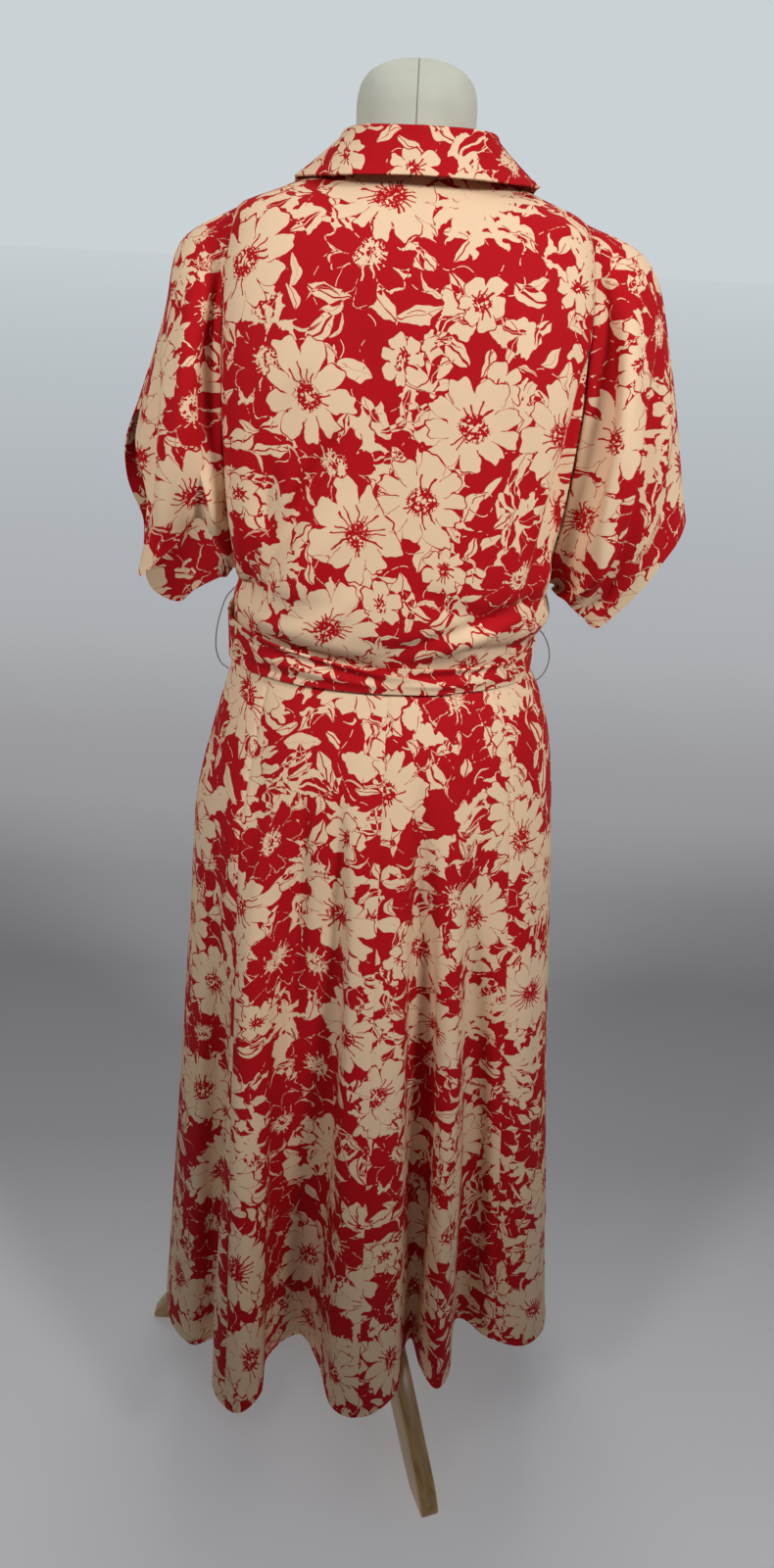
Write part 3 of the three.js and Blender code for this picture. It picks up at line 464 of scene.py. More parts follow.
# Thin stems that wander through the ground, in the other colour too
stem = add(tree, "TexNoise", noise_dimensions="2D", sockets={"Vector": cut, "Scale": 31, "Detail": 0})[0]
stem = math_node(tree, "LESS_THAN", math_node(tree, "ABSOLUTE", math_node(tree, "SUBTRACT", stem, 0.5)), 0.007)
whole = math_node(tree, "FRACT", math_node(tree, "MULTIPLY", isle, 11))
stem = math_node(tree, "MULTIPLY", stem, math_node(tree, "GREATER_THAN", whole, 0.5))
ink = math_node(tree, "ABSOLUTE", math_node(tree, "SUBTRACT", ink, stem))
# Spiky sprays, some of them behind the places of the daisies, and small flowers
for size, offset, loose, radius, spikes in ((0.07, 4.1, 0.85, 0.024, 6), (0.104, 0.4, 0.72, 0.056, 11)):
    spot, chance = cells(tree, torn, size, offset, loose)
    spray = flower(tree, spot, chance, radius, spikes, slim=0.7)
    spray = math_node(tree, "MULTIPLY", spray, math_node(tree, "GREATER_THAN", chance[1], 0.5))
    ink = over(tree, ink, 1.0, spray)
spot, chance = cells(tree, drawn, 0.075, 7.7, 0.85)
petal, lines, eye = flower(tree, spot, chance, 0.021, 5)
petal = math_node(tree, "MULTIPLY", petal, math_node(tree, "GREATER_THAN", chance[2], 0.4))
ink = over(tree, ink, math_node(tree, "SUBTRACT", 1, math_node(tree, "MAXIMUM", lines, eye)), petal)
# Darker flowers, red with broken cream outlines
spot, chance = cells(tree, drawn, 0.105, 2.9, 0.8)
petal, lines, eye = flower(tree, spot, chance, 0.037, 7)
petal = math_node(tree, "MULTIPLY", petal, math_node(tree, "GREATER_THAN", chance[2], 0.35))
broken = math_node(tree, "GREATER_THAN", math_node(tree, "FRACT", math_node(tree, "MULTIPLY", isle, 19)), 0.3)
ink = over(tree, ink, math_node(tree, "MAXIMUM", math_node(tree, "MULTIPLY", lines, broken), eye), petal)
# Big cream daisies, each ending in a red line where its neighbour starts
spot, chance = cells(tree, drawn, 0.104, 0.4, 0.72)
petal, lines, eye = flower(tree, spot, chance, 0.0435, 9)
moved = add(tree, "VectorMath", drawn, (0.4, 0.28, 0), operation="ADD")[0]
border = add(tree, "TexVoronoi", voronoi_dimensions="2D", feature="DISTANCE_TO_EDGE",
             sockets={"Vector": moved, "Scale": 1 / 0.104, "Randomness": 0.72})[0]
lines = math_node(tree, "MAXIMUM", lines, math_node(tree, "LESS_THAN", border, 0.007))
petal = math_node(tree, "MULTIPLY", petal, math_node(tree, "GREATER_THAN", chance[2], 0.22))
ink = over(tree, ink, math_node(tree, "SUBTRACT", 1, math_node(tree, "MAXIMUM", lines, eye)), petal)
colour = add(tree, "Mix", ink, data_type="RGBA", sockets={6: linear("B20D17"), 7: linear("E7C6A3")})[2]
# Crepe is dull, with a fine pebbled face. Its grain is 0.5 mm and is drawn at 1 mm so that it shows.
pebble = add(tree, "TexNoise", sockets={"Vector": cut, "Scale": 1000, "Detail": 2}, noise_dimensions="2D")[0]
bump = add(tree, "Bump", sockets={"Height": pebble, "Strength": 0.25, "Distance": 0.0003})[0]
surface = add(tree, "BsdfPrincipled", sockets={"Base Color": colour, "Roughness": 0.78, "Normal": bump,
                                               "Specular IOR Level": 0.12})[0]
add(tree, "OutputMaterial", surface)


def finish_cloth(piece, node=None):
    """Gives the piece its finish, hangs it from the root and hides the part that it stands for."""
    piece.data.materials.append(crepe)
    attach(piece, "root")
    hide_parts(node or piece.name.replace("_crepe", ""))


def cut_size(panels):
    """Width, length and area in metres of the cloth that a piece takes."""
    wide = sum(arcs(points, 1)[:, -1].max() for points, _ in panels) * MM
    long = max(arcs(points, 0)[-1].max() for points, _ in panels) * MM
    area = 0
    for points, _ in panels:
        across, up = np.diff(points, axis=1)[:-1], np.diff(points, axis=0)[:, :-1]
        area += np.linalg.norm(np.cross(across, up), axis=2).sum() * MM**2
    return (round(float(wide), 3), round(float(long), 3)), round(float(area), 4)


def laid(points, u0=0.0, v0=0.0):
    """Print laid along a grid, from the middle of each row and the foot of each column, in metres."""
    round_, up = arcs(points, 1), arcs(points, 0)
    middle = np.take_along_axis(round_, np.full((points.shape[0], 1), points.shape[1] // 2), 1)
    return np.stack([(round_ - middle) * MM + u0, up * MM + v0], -1)


BODICE_CREASES = [
    [-1, -48, 1126, -90, 1046, -126, 955, 10, 11], [-1, -76, 1170, -98, 1112, -116, 1040, 13, 6],
    [-1, -30, 1080, -66, 1020, -96, 965, 12, -3.5], [-1, 150, 1190, 140, 1080, 114, 985, 11, 15],
    [-1, 138, 996, 70, 968, 0, 944, 6, 5], [-1, 120, 978, 60, 952, 10, 936, 8, -4],
    [-1, -104, 938, -55, 930, 20, 918, 6, 5], [-1, -140, 966, -70, 950, 0, 942, 9, -4.5],
    [-1, -106, 1100, -112, 1040, -120, 980, 12, 8], [-1, -122, 1036, -128, 996, -128, 950, 7, 7], [-1, 100, 1180, 112, 1090, 100, 1010, 14, 3],
    [-1, 70, 1240, 92, 1170, 100, 1090, 16, -2.6], [-1, -70, 1235, -96, 1160, -104, 1090, 16, -2.6],
    [-1, 20, 1005, 50, 985, 96, 975, 10, 3], [-1, -30, 1000, -52, 972, -90, 958, 9, -3],
    [-1, 60, 948, 100, 940, 140, 940, 6, 4], [-1, -60, 1250, -40, 1200, -20, 1150, 18, 1.6],
    [1, 110, 1150, 60, 1060, -20, 960, 14, 3], [1, 70, 1120, 10, 1020, -60, 940, 14, -3],
    [1, -110, 1130, -60, 1040, 0, 950, 14, 2.4], [1, 120, 960, 60, 935, 0, 930, 10, 2.6],
    [1, -120, 965, -70, 938, -10, 930, 10, 2.4], [1, 40, 1250, 80, 1180, 110, 1120, 16, 2],
]
across, height = np.meshgrid(np.linspace(-1, 1, 151), spaced(WAIST_Z + 0.3, NECK_Z, 4, (1, 2.5, 4)))
plain = back_point(across, height)
points = creased(plain, BODICE_CREASES, smooth(1, 0.94, np.abs(across)))
points = sewn(points, ("uLow", "uHigh", "vLow"))
back_panels = [(points, laid(points))]
bodice_back = cloth("bodice_back_crepe", back_panels, plain=[plain])
flat, area = cut_size(back_panels)
finish_cloth(bodice_back)

SIDE_COLUMNS, WRAP_COLUMNS = 3, 8
for name, over_front in (("bodice_front_right", True), ("bodice_front_left", False)):
    heights = spaced(WAIST_Z + 0.3, NECK_Z - 2.5, 4, (1, 2.5, 4))
    share, height = np.meshgrid(np.linspace(0, 1, 111), heights)
    edge = wrap_across(height)
    if over_front:
        across = -1 + (edge + 1) * share
        points = front_point(across, height)
    else:
        across = 1 - (1 + edge) * (1 - share)
        points = front_point(across, height)
        sunk = UNDER_LAYER * smooth(1, np.maximum(edge, 0.5), across) * smooth(1225, 1180, height)
        points = points - facing(points) * sunk[..., None]
    side_edge = "uLow" if over_front else "uHigh"
    plain = points
    points = sewn(creased(points, BODICE_CREASES), (side_edge, "vLow"),
                  ("uHigh" if over_front else "uLow",))
    panels = [(points, laid(points, u0=0.6 if over_front else 1.1))]
    front = cloth(name + "_crepe", panels, plain=[plain])
    flat, area = cut_size(panels)
    finish_cloth(front)

# Sleeves
# Each is cut with the back and the front in one, seamed over the shoulder and under the arm, and
# ends in a narrow hem above the elbow. They hang empty, so their lower edges fold.
RING = ["turn", "x", "y", "z"]
SLEEVES = {
    "sleeve_left": (-1, [
        [[0, 190, 0, 1258], [0.07, 183, -36, 1238], [0.15, 172, -68, 1190], [0.25, 166, -82, 1125],
         [0.35, 162, -76, 1062], [0.43, 152, -48, 1012], [0.5, 147, -3, 985], [0.57, 152, 40, 1012],
         [0.65, 162, 61, 1062], [0.75, 167, 68, 1125], [0.85, 172, 58, 1190], [0.93, 183, 31, 1238]],
        [[0, 206, 2, 1205], [0.07, 203, -36, 1178], [0.15, 196, -64, 1130], [0.22, 192, -74, 1080],
         [0.29, 181, -64, 1046], [0.35, 171, -50, 1036], [0.42, 158, -50, 1020], [0.5, 151, -8, 983],
         [0.57, 162, 30, 986], [0.65, 180, 54, 1006], [0.72, 194, 66, 1046], [0.8, 204, 62, 1102],
         [0.88, 209, 45, 1150], [0.94, 209, 22, 1186]],
        [[0, 232, 4, 1120], [0.05, 231, -22, 1095], [0.1, 221, -38, 1058], [0.15, 221, -46, 1019],
         [0.2, 227, -50, 985], [0.25, 206, -52, 1003], [0.3, 187, -42, 1022], [0.34, 178, -30, 1046],
         [0.37, 168, -26, 1047], [0.41, 157, -40, 1036], [0.45, 152, -44, 1018], [0.48, 151, -30, 994],
         [0.5, 154, -10, 979], [0.54, 160, 14, 970], [0.59, 170, 34, 963], [0.64, 194, 42, 948],
         [0.69, 211, 44, 935], [0.74, 236, 44, 947], [0.79, 243, 44, 974], [0.84, 241, 42, 1014],
         [0.89, 253, 38, 1051], [0.93, 252, 28, 1084], [0.97, 241, 15, 1112]],
    ]),
    "sleeve_right": (1, [
        [[0, 200, 0, 1258], [0.07, 194, -38, 1236], [0.15, 182, -72, 1188], [0.25, 174, -87, 1122],
         [0.35, 167, -82, 1060], [0.43, 152, -50, 1012], [0.5, 145, -3, 985], [0.57, 152, 42, 1012],
         [0.65, 167, 64, 1060], [0.75, 174, 72, 1122], [0.85, 182, 60, 1188], [0.93, 194, 32, 1236]],
        [[0, 230, 2, 1180], [0.07, 226, -38, 1146], [0.15, 214, -64, 1100], [0.22, 201, -76, 1060],
         [0.29, 190, -70, 1030], [0.36, 176, -74, 1010], [0.43, 160, -50, 994], [0.5, 150, -8, 983],
         [0.57, 160, 34, 986], [0.65, 182, 56, 1002], [0.73, 204, 66, 1040], [0.81, 220, 58, 1092],
         [0.88, 228, 42, 1132], [0.94, 232, 20, 1164]],
        [[0, 262, 2, 1048], [0.06, 253, -22, 1034], [0.12, 237, -36, 1014], [0.18, 219, -42, 989],
         [0.23, 188, -42, 956], [0.28, 174, -36, 963], [0.34, 163, -42, 972], [0.4, 154, -46, 981],
         [0.45, 148, -34, 982], [0.5, 146, -8, 981], [0.55, 153, 20, 970], [0.61, 167, 38, 958],
         [0.68, 193, 44, 944], [0.76, 219, 46, 962], [0.84, 238, 40, 997], [0.92, 255, 24, 1025]],
    ]),
}
SLEEVE_KNOTS = np.array([0, 0.34, 0.68, 1])
SLEEVE_CREASES = [
    [-1, 154, 1265, 163, 1140, 148, 1010, 12, 16], [-1, -150, 1250, -158, 1140, -170, 1030, 11, 15],
    [-1, 178, 1240, 182, 1150, 176, 1050, 12, -4], [-1, -172, 1225, -182, 1130, -186, 1050, 11, -4],
    [-1, 208, 1195, 211, 1100, 186, 975, 9, 14], [-1, 196, 1150, 192, 1060, 172, 1000, 8, -4],
    [-1, -206, 1170, -211, 1110, -217, 1030, 6, 8], [-1, -192, 1180, -198, 1100, -204, 1020, 8, -4],
    [-1, 236, 1130, 236, 1080, 224, 1020, 8, 4],
    [1, 152, 1230, 180, 1160, 210, 1060, 12, 2.4], [1, -152, 1225, -176, 1150, -205, 1070, 12, 2.4],
]


def sleeve_grid(rings, side, turns, along):
    """A sleeve as a smooth sweep from the armhole, through two rings, to its hem."""
    angle = turns * 2 * math.pi
    z = ARMHOLE_MID + ARMHOLE_HALF * np.cos(angle)
    seam = np.where((np.sin(angle) > 0)[:, None], back_point(side + 0 * z, z), front_point(-side + 0 * z, z))
    rings = [table(RING, rows) for rows in rings]
    rings = [np.stack([side * loop(r, "x")(turns), loop(r, "y")(turns), loop(r, "z")(turns)], -1) for r in rings]
    value, at = np.stack([seam] + rings), SLEEVE_KNOTS
    low, high = np.array([0, 0, 1, 2]), np.array([1, 2, 3, 3])
    slope = (value[high] - value[low]) / (at[high] - at[low])[:, None, None]
    i = np.clip(np.searchsorted(at, along) - 1, 0, 2)
    start, end, here = (a[:, None, None] for a in (at[i], at[i + 1], along))
    return hermite(start, end, value[i], value[i + 1], slope[i], slope[i + 1], here)


for name, (side, rings) in SLEEVES.items():
    turns = np.linspace(0, 1, 181)
    turns = turns if side > 0 else 1 - turns
    along = spaced(0, 1, 0.0125, (0.004, -0.004))
    plain = sleeve_grid(rings, side, turns, along)
    points = sewn(creased(plain, SLEEVE_CREASES, smooth(0, 0.07, along)[:, None]), ("vLow",), ("vHigh",))
    middle = points.shape[1] // 2
    halves, plain = ([grid[:, : middle + 1], grid[:, middle:]] for grid in (points, plain))
    panels = [(half, laid(half, u0=side * 2.0 + shift)) for half, shift in zip(halves, (0, 0.5))]
    sleeve = cloth(name + "_crepe", panels, plain=plain)
    flat, area = cut_size(panels)
    finish_cloth(sleeve)

# Collar: a stand that rises at the neck and a fall that folds down over it
# Two layers of the crepe with a line of stitches along the free edge. The pad of the form's neck
# stands in it.
COLLAR = table(
    ["at", "seamX", "seamY", "seamZ", "rollX", "rollY", "rollZ", "edgeX", "edgeY", "edgeZ"],
    [[0, 0, -59, 1316, 0, -62, 1346, 0, -84, 1312], [0.2, 30, -51, 1318, 32, -54, 1346, 43, -78, 1311],
     [0.35, 48, -32, 1322, 52, -33, 1345, 79, -51, 1310], [0.5, 51, 2, 1324, 57, 0, 1342, 99, -8, 1310],
     [0.62, 50, 26, 1312, 57, 28, 1329, 99, 26, 1304], [0.74, 46, 43, 1297, 53, 50, 1313, 96, 60, 1284],
     [1, 28, 89, 1242, 35, 99, 1254, 72, 118, 1212]],
)
ROLL_SHIFT, ROLL_WIDTH, ROLL_RISE, ROLL_FROM, ROLL_TO = 5, 7, 4, 0.35, 0.45


def collar_grid(places, shares):
    """The collar from the neck seam, up the stand, over the roll and down to the free edge."""
    at = np.abs(places)
    seam, roll, edge = (np.stack([curve(COLLAR, "at", name + axis)(at) for axis in "XYZ"], -1)
                        for name in ("seam", "roll", "edge"))
    for line in (seam, roll, edge):
        line[:, 0] *= np.sign(places)
    out = (edge - seam) * (1, 1, 0)
    out /= np.linalg.norm(out, axis=1, keepdims=True)
    shift = np.outer(ROLL_SHIFT * smooth(0.7, 0.35, at), (1, 0, 0))
    stand_top = roll + shift - (0, 0, ROLL_RISE)
    fall_top, edge = stand_top + out * ROLL_WIDTH, edge + shift
    rows = []
    for share in shares:
        if share < ROLL_FROM:
            rows.append(seam + (stand_top - seam) * share / ROLL_FROM)
        elif share > ROLL_TO:
            rows.append(fall_top + (edge - fall_top) * (share - ROLL_TO) / (1 - ROLL_TO))
        else:
            angle = ((share - ROLL_FROM) / (ROLL_TO - ROLL_FROM) - 0.5) * math.pi
            middle = (stand_top + fall_top) / 2 + out * math.sin(angle) * ROLL_WIDTH / 2
            rows.append(middle + (0, 0, math.cos(angle) * ROLL_RISE))
    return np.array(rows)


places = np.linspace(1, -1, 201)
for name, shares, seams, hems, u0 in (
    ("collar_stand", np.linspace(0, ROLL_FROM, 9), ("vLow",), (), 3.0),
    ("collar_fall", np.r_[np.linspace(ROLL_FROM, ROLL_TO, 9), np.linspace(ROLL_TO, 1, 22)[1:]],
     (), ("vHigh", "uLow", "uHigh"), 2.75),
):
    points = collar_grid(places, shares)
    points = sewn(points, seams, hems)
    panels = [(points, laid(points, u0=u0))]
    flat, area = cut_size(panels)
    finish_cloth(cloth(name + "_crepe", panels))

# Skirt: four back gores and two wrapped fronts
# It hangs straight from the waist seam and falls into folds, which come out fully at the hem. The
# right front lies over the left one.
HEM_Z, HIP_Z, FOLD_START_Z, FOLD_GROWTH = 170, 700, 815, 1.22
SKIRT = table(
    ["z", "left", "right", "back", "front", "round"],
    [[700, 190, 174, 136, 132, 2.1], [745, 188, 170, 133, 129, 2.1], [790, 180, 166, 127, 124, 2.1],
     [840, 167, 158, 117, 118, 2.15], [878, 156, 146, 106, 112, 2.2], [WAIST_Z, 149, 133, 98, 107, 2.2]],
)
HEM = table(
    ["turn", "x", "y"],
    [[-0.5, 8, 232], [-0.465, -38, 176], [-0.43, -88, 222], [-0.395, -128, 158], [-0.36, -178, 186],
     [-0.32, -186, 118], [-0.285, -229, 66], [-0.25, -226, -20], [-0.22, -220, -94], [-0.2, -206, -148],
     [-0.177, -178, -178], [-0.155, -151, -172], [-0.138, -147, -228], [-0.115, -119, -257],
     [-0.092, -96, -232], [-0.078, -95, -190], [-0.052, -62, -158], [-0.033, -38, -196],
     [-0.018, -22, -244], [0.004, 12, -254], [0.024, 46, -222], [0.034, 51, -176], [0.045, 61, -156],
     [0.055, 70, -190], [0.07, 87, -217], [0.083, 102, -194], [0.094, 110, -128], [0.12, 146, -150],
     [0.15, 184, -158], [0.18, 210, -130], [0.215, 214, -66], [0.25, 222, 0], [0.285, 228, 66],
     [0.32, 182, 112], [0.36, 176, 184], [0.395, 126, 160], [0.43, 88, 224], [0.465, 48, 178]],
)
HEM_OVAL = {"left": 217, "right": 212, "back": 196, "front": 184, "round": 2.1}
skirt = {name: curve(SKIRT, "z", name) for name in ("left", "right", "back", "front", "round")}


def oval(turn, ring):
    """Section at turns from the centre back, rightwards."""
    angle = turn * 2 * math.pi
    half = np.where(np.sin(angle) < 0, ring["left"], ring["right"])
    depth = np.where(np.cos(angle) < 0, ring["front"], ring["back"])
    x, y = corner(angle, half, depth, ring["round"])
    return x, -y


def skirt_point(turn, z):
    ring_x, ring_y = oval(turn, {name: f(np.maximum(z, HIP_Z)) for name, f in skirt.items()})
    plain_x, plain_y = oval(turn, HEM_OVAL)
    fall = np.maximum(0, (HIP_Z - z) / (HIP_Z - HEM_Z))
    fold = np.maximum(0, (FOLD_START_Z - z) / (FOLD_START_Z - HEM_Z)) ** FOLD_GROWTH
    x = ring_x + (plain_x - ring_x) * fall + (loop(HEM, "x")(turn) - plain_x) * fold
    y = ring_y + (plain_y - ring_y) * fall + (loop(HEM, "y")(turn) - plain_y) * fold
    return np.stack([x, y, z + 0 * x], -1)


SKIRT_CREASES = [
    [-1, -110, 890, -118, 800, -122, 700, 12, 2.4], [-1, -20, 880, -24, 780, -20, 680, 14, -2],
    [-1, 70, 885, 84, 780, 90, 660, 13, 3], [-1, -108, 770, -118, 594, -128, 380, 14, -6],
    [-1, 130, 700, 150, 560, 160, 380, 18, -4], [-1, -38, 800, -43, 560, -50, 200, 11, 15],
    [-1, -70, 800, -76, 680, -80, 520, 9, 9], [-1, 34, 820, 50, 556, 62, 200, 10, 16],
    [-1, -140, 680, -152, 480, -158, 230, 11, 10], [-1, 82, 760, 104, 560, 130, 240, 13, 9],
    [1, -60, 880, -70, 780, -80, 640, 14, 2], [1, 50, 880, 64, 760, 70, 640, 14, -2],
]
for name, low, high, columns, seams, sunk in (
    ("skirt_back_left_side", -0.25, -0.125, 64, ("uLow", "uHigh"), 0),
    ("skirt_back_left", -0.125, 0, 72, ("uLow", "uHigh"), 0),
    ("skirt_back_right", 0, 0.125, 72, ("uLow", "uHigh"), 0),
    ("skirt_back_right_side", 0.125, 0.25, 60, ("uLow", "uHigh"), 0),
    ("skirt_front_right", 0.25, 0.66, 190, ("uLow",), 0),
    ("skirt_front_left", 0.4, 0.75, 160, ("uHigh",), UNDER_LAYER),
):
    turn, z = np.meshgrid(np.linspace(low, high, columns),
                          spaced(HEM_Z, WAIST_Z - 0.3, 6, (3, 8, 8.8, 9.6, 11, -1, -3)))
    points = skirt_point(turn, z)
    points = points - facing(points) * (sunk * smooth(0.745, 0.67, turn))[..., None]
    points = sewn(creased(points, SKIRT_CREASES), seams + ("vHigh",), ("vLow",))
    panels = [(points, laid(points, u0=low * 9, v0=low * 3))]
    flat, area = cut_size(panels)
    finish_cloth(cloth(name + "_crepe", panels))

# Ties round the waist
# Each is a strip of the crepe folded double. They cross at the back, and are knotted at the left of
# the front, where their free ends hang.
TIE_CLOTH, TIE_WIDTH, TAIL_LENGTH = 2, 34, 330
TIE_LEFT = table(["turn", "low", "high"],
                 [[-0.34, 906, 944], [-0.25, 905, 950], [-0.17, 905, 946], [-0.08, 904, 933],
                  [0, 903.6, 922], [0.07, 903.6, 911]])
TIE_RIGHT = table(["turn", "low", "high"],
                  [[-0.2, 904, 922], [-0.1, 904, 925], [0, 904, 927], [0.1, 904, 926], [0.2, 904, 930],
                   [0.3, 905, 938], [0.66, 906, 944]])
TIE_CREASES = [
    [-1, -146, 938, -80, 928, 0, 914, 4, 3], [-1, -130, 924, -60, 917, 10, 908, 4, -2],
    [-1, -150, 915, -100, 911, -40, 909, 3, 2], [-1, -60, 934, -30, 926, 16, 918, 3, -1.6],
    [-1, 20, 919, 70, 921, 130, 924, 3.5, 2.4], [-1, 10, 912, 60, 912, 125, 914, 3, -1.6],
    [1, -120, 930, -40, 924, 60, 926, 6, 1.4], [1, -90, 918, 0, 914, 110, 918, 5, -1.2],
]
KNOT_TURN, KNOT_Z = -0.34, 925
KNOT_ACROSS, KNOT_DEEP, KNOT_HIGH = 21, 11, 17
TAIL_OFF_TOP, TAIL_OFF_LOW = 17.5, 3.6


def waist_ring(z, off):
    ring = {name: bodice[name](z) + off for name in ("left", "right", "back", "front")}
    return ring | {"round": bodice["round"](z)}


for name, rows, off, columns in (("tie_right", TIE_RIGHT, 3.1, 360), ("tie_left", TIE_LEFT, 5.6, 200)):
    turn, w = np.meshgrid(np.linspace(rows["turn"][0], rows["turn"][-1], columns), np.linspace(0, 1, 15))
    low, high = curve(rows, "turn", "low")(turn), curve(rows, "turn", "high")(turn)
    z = low + (high - low) * w
    x, y = oval(turn, waist_ring(z, off))
    points = creased(np.stack([x, y, z], -1), TIE_CREASES)
    panels = [(points, laid(points, u0=4.0 + off))]
    flat, area = cut_size(panels)
    finish_cloth(cloth(name + "_crepe", panels, TIE_CLOTH))

top = KNOT_Z - KNOT_HIGH - 0.3
for name, tail_turn, spread in (("tie_tail_1", KNOT_TURN - 0.0187, -0.026),
                                ("tie_tail_2", KNOT_TURN + 0.0187, 0.014)):
    across, z = np.meshgrid(np.linspace(-TIE_WIDTH / 2, TIE_WIDTH / 2, 13), np.linspace(top - TAIL_LENGTH, top, 80))
    fall = (top - z) / TAIL_LENGTH
    turn = tail_turn + spread * fall + across / (2 * math.pi * skirt["left"](np.maximum(z, HIP_Z)))
    off = TAIL_OFF_TOP + (TAIL_OFF_LOW - TAIL_OFF_TOP) * smooth(0, 0.12, fall)
    points = skirt_point(turn, z)
    points = points + facing(points) * off[..., None]
    panels = [(points, laid(points, u0=5 + spread * 9))]
    flat, area = cut_size(panels)
    finish_cloth(cloth(name + "_crepe", panels, TIE_CLOTH))

x, y = oval(np.array(KNOT_TURN), waist_ring(KNOT_Z, 5.6 + 0.3 + KNOT_DEEP))
turn, rise = np.meshgrid(np.linspace(0, 2 * math.pi, 73), np.linspace(0.02, math.pi - 0.02, 37))
folds = 1 - 0.05 * np.sin(4 * turn + 3 * rise) * np.sin(rise) ** 2
ball = np.stack([KNOT_DEEP * np.sin(rise) * np.cos(turn), KNOT_ACROSS * np.sin(rise) * np.sin(turn),
                 -KNOT_HIGH * np.cos(rise)], -1) * folds[..., None]
yaw = math.atan2(float(y), float(x))
knot_turned = np.array(Matrix.Rotation(yaw, 3, "Z"))
points = ball @ knot_turned.T + (float(x), float(y), KNOT_Z)
knot = cloth("tie_knot_crepe", [(points, laid(points, u0=6))], 1.0)
knot.data.materials.append(crepe)
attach(knot, "root")
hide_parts("tie_knot")

# Padded dress form
# A limbless torso covered in cream cotton jersey, with seams down its middle and over the neck.
FORM = table(
    ["z", "half", "back", "front", "round"],
    [[640, 150, 100, 98, 2], [660, 158, 108, 106, 2], [740, 163, 116, 112, 2], [800, 156, 112, 108, 2],
     [850, 138, 98, 102, 2], [903, 118, 84, 94, 2], [960, 124, 90, 104, 2], [1050, 138, 102, 120, 2.1],
     [1110, 141, 104, 124, 2.1], [1165, 145, 103, 114, 2.1], [1195, 160, 100, 100, 2],
     [1225, 168, 95, 88, 2], [1245, 166, 88, 74, 2], [1262, 158, 80, 60, 2], [1277, 148, 75, 51, 2],
     [1287, 135, 72, 46, 2], [1300, 105, 65, 36, 2], [1312, 74.8, 56, 31, 2], [1318, 51, 50, 32, 2],
     [1325, 48, 48, 38, 2], [1340, 48, 48, 46, 2], [1362, 48, 48, 48, 2], [1374, 46, 46, 46, 2],
     [1384, 40, 40, 40, 2], [1391, 29, 29, 29, 2], [1395, 15, 15, 15, 2], [1396, 3, 3, 3, 2]],
)
heights = np.r_[np.linspace(640, 1180, 90), np.linspace(1184, 1318, 60), np.linspace(1320, 1396, 50)]
turn, z = np.meshgrid(np.linspace(0, 1, 129), heights)
shape = {name: curve(FORM, "z", name)(z) for name in ("half", "back", "front", "round")}
x, y = oval(turn, {"left": shape["half"], "right": shape["half"], "back": shape["back"],
                   "front": shape["front"], "round": shape["round"]})
points = np.stack([x, y, z], -1)
mesh = bpy.data.meshes.new("form_torso_jersey")
rows, columns = points.shape[:2]
index = np.arange(rows * columns).reshape(rows, columns)
quads = np.stack([index[:-1, :-1], index[:-1, 1:], index[1:, 1:], index[1:, :-1]], -1).reshape(-1, 4)
caps = [index[0, ::-1].tolist(), index[-1].tolist()]
mesh.from_pydata([tuple(v) for v in points.reshape(-1, 3) * MM + np.array(AXIS)], [], quads.tolist() + caps)
torso = bpy.data.objects.new("form_torso_jersey", mesh)
scene.collection.objects.link(torso)
bpy.ops.object.select_all(action="DESELECT")
torso.select_set(True)
bpy.context.view_layer.objects.active = torso
bpy.ops.object.mode_set(mode="EDIT")
bpy.ops.mesh.select_all(action="SELECT")
bpy.ops.mesh.remove_doubles(threshold=1e-5)
bpy.ops.object.mode_set(mode="OBJECT")
bpy.ops.object.shade_smooth_by_angle(angle=math.radians(60))

# Cotton jersey: ribs of a fine knit, 1 mm apart, a little uneven and greyed
jersey, tree = new_material("cotton_jersey")
place = add(tree, "TexCoord")["Object"]
rib = add(tree, "TexWave", sockets={"Vector": place, "Scale": 320, "Distortion": 0.6}, bands_direction="X")["Fac"]
blotch = add(tree, "TexNoise", sockets={"Vector": place, "Scale": 30, "Detail": 4})[0]
fuzz = add(tree, "TexNoise", sockets={"Vector": place, "Scale": 1400, "Detail": 2})[0]
knit = add(tree, "Math", rib, fuzz, operation="ADD")[0]
xyz = add(tree, "SeparateXYZ", place)
middle = add(tree, "Math", xyz[0], float(AXIS.x), operation="SUBTRACT")[0]
middle = add(tree, "Math", middle, operation="ABSOLUTE")[0]
seam = add(tree, "Math", middle, 0.0006, operation="LESS_THAN")[0]
tone = add(tree, "Mix", blotch, data_type="RGBA", sockets={6: linear("BEC0B0"), 7: linear("D0D1C2")})[2]
tone = add(tree, "Mix", seam, data_type="RGBA", sockets={6: tone, 7: linear("8D8B80")})[2]
height = add(tree, "Math", seam, -3.0, knit, operation="MULTIPLY_ADD")[0]
bump = add(tree, "Bump", sockets={"Height": height, "Strength": 0.4, "Distance": 0.0003})[0]
surface = add(tree, "BsdfPrincipled", sockets={"Base Color": tone, "Roughness": 0.9, "Normal": bump,
                                               "Sheen Weight": 0.15, "Specular IOR Level": 0.2})[0]
add(tree, "OutputMaterial", surface)
torso.data.materials.append(jersey)
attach(torso, "root")
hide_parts("form_torso")

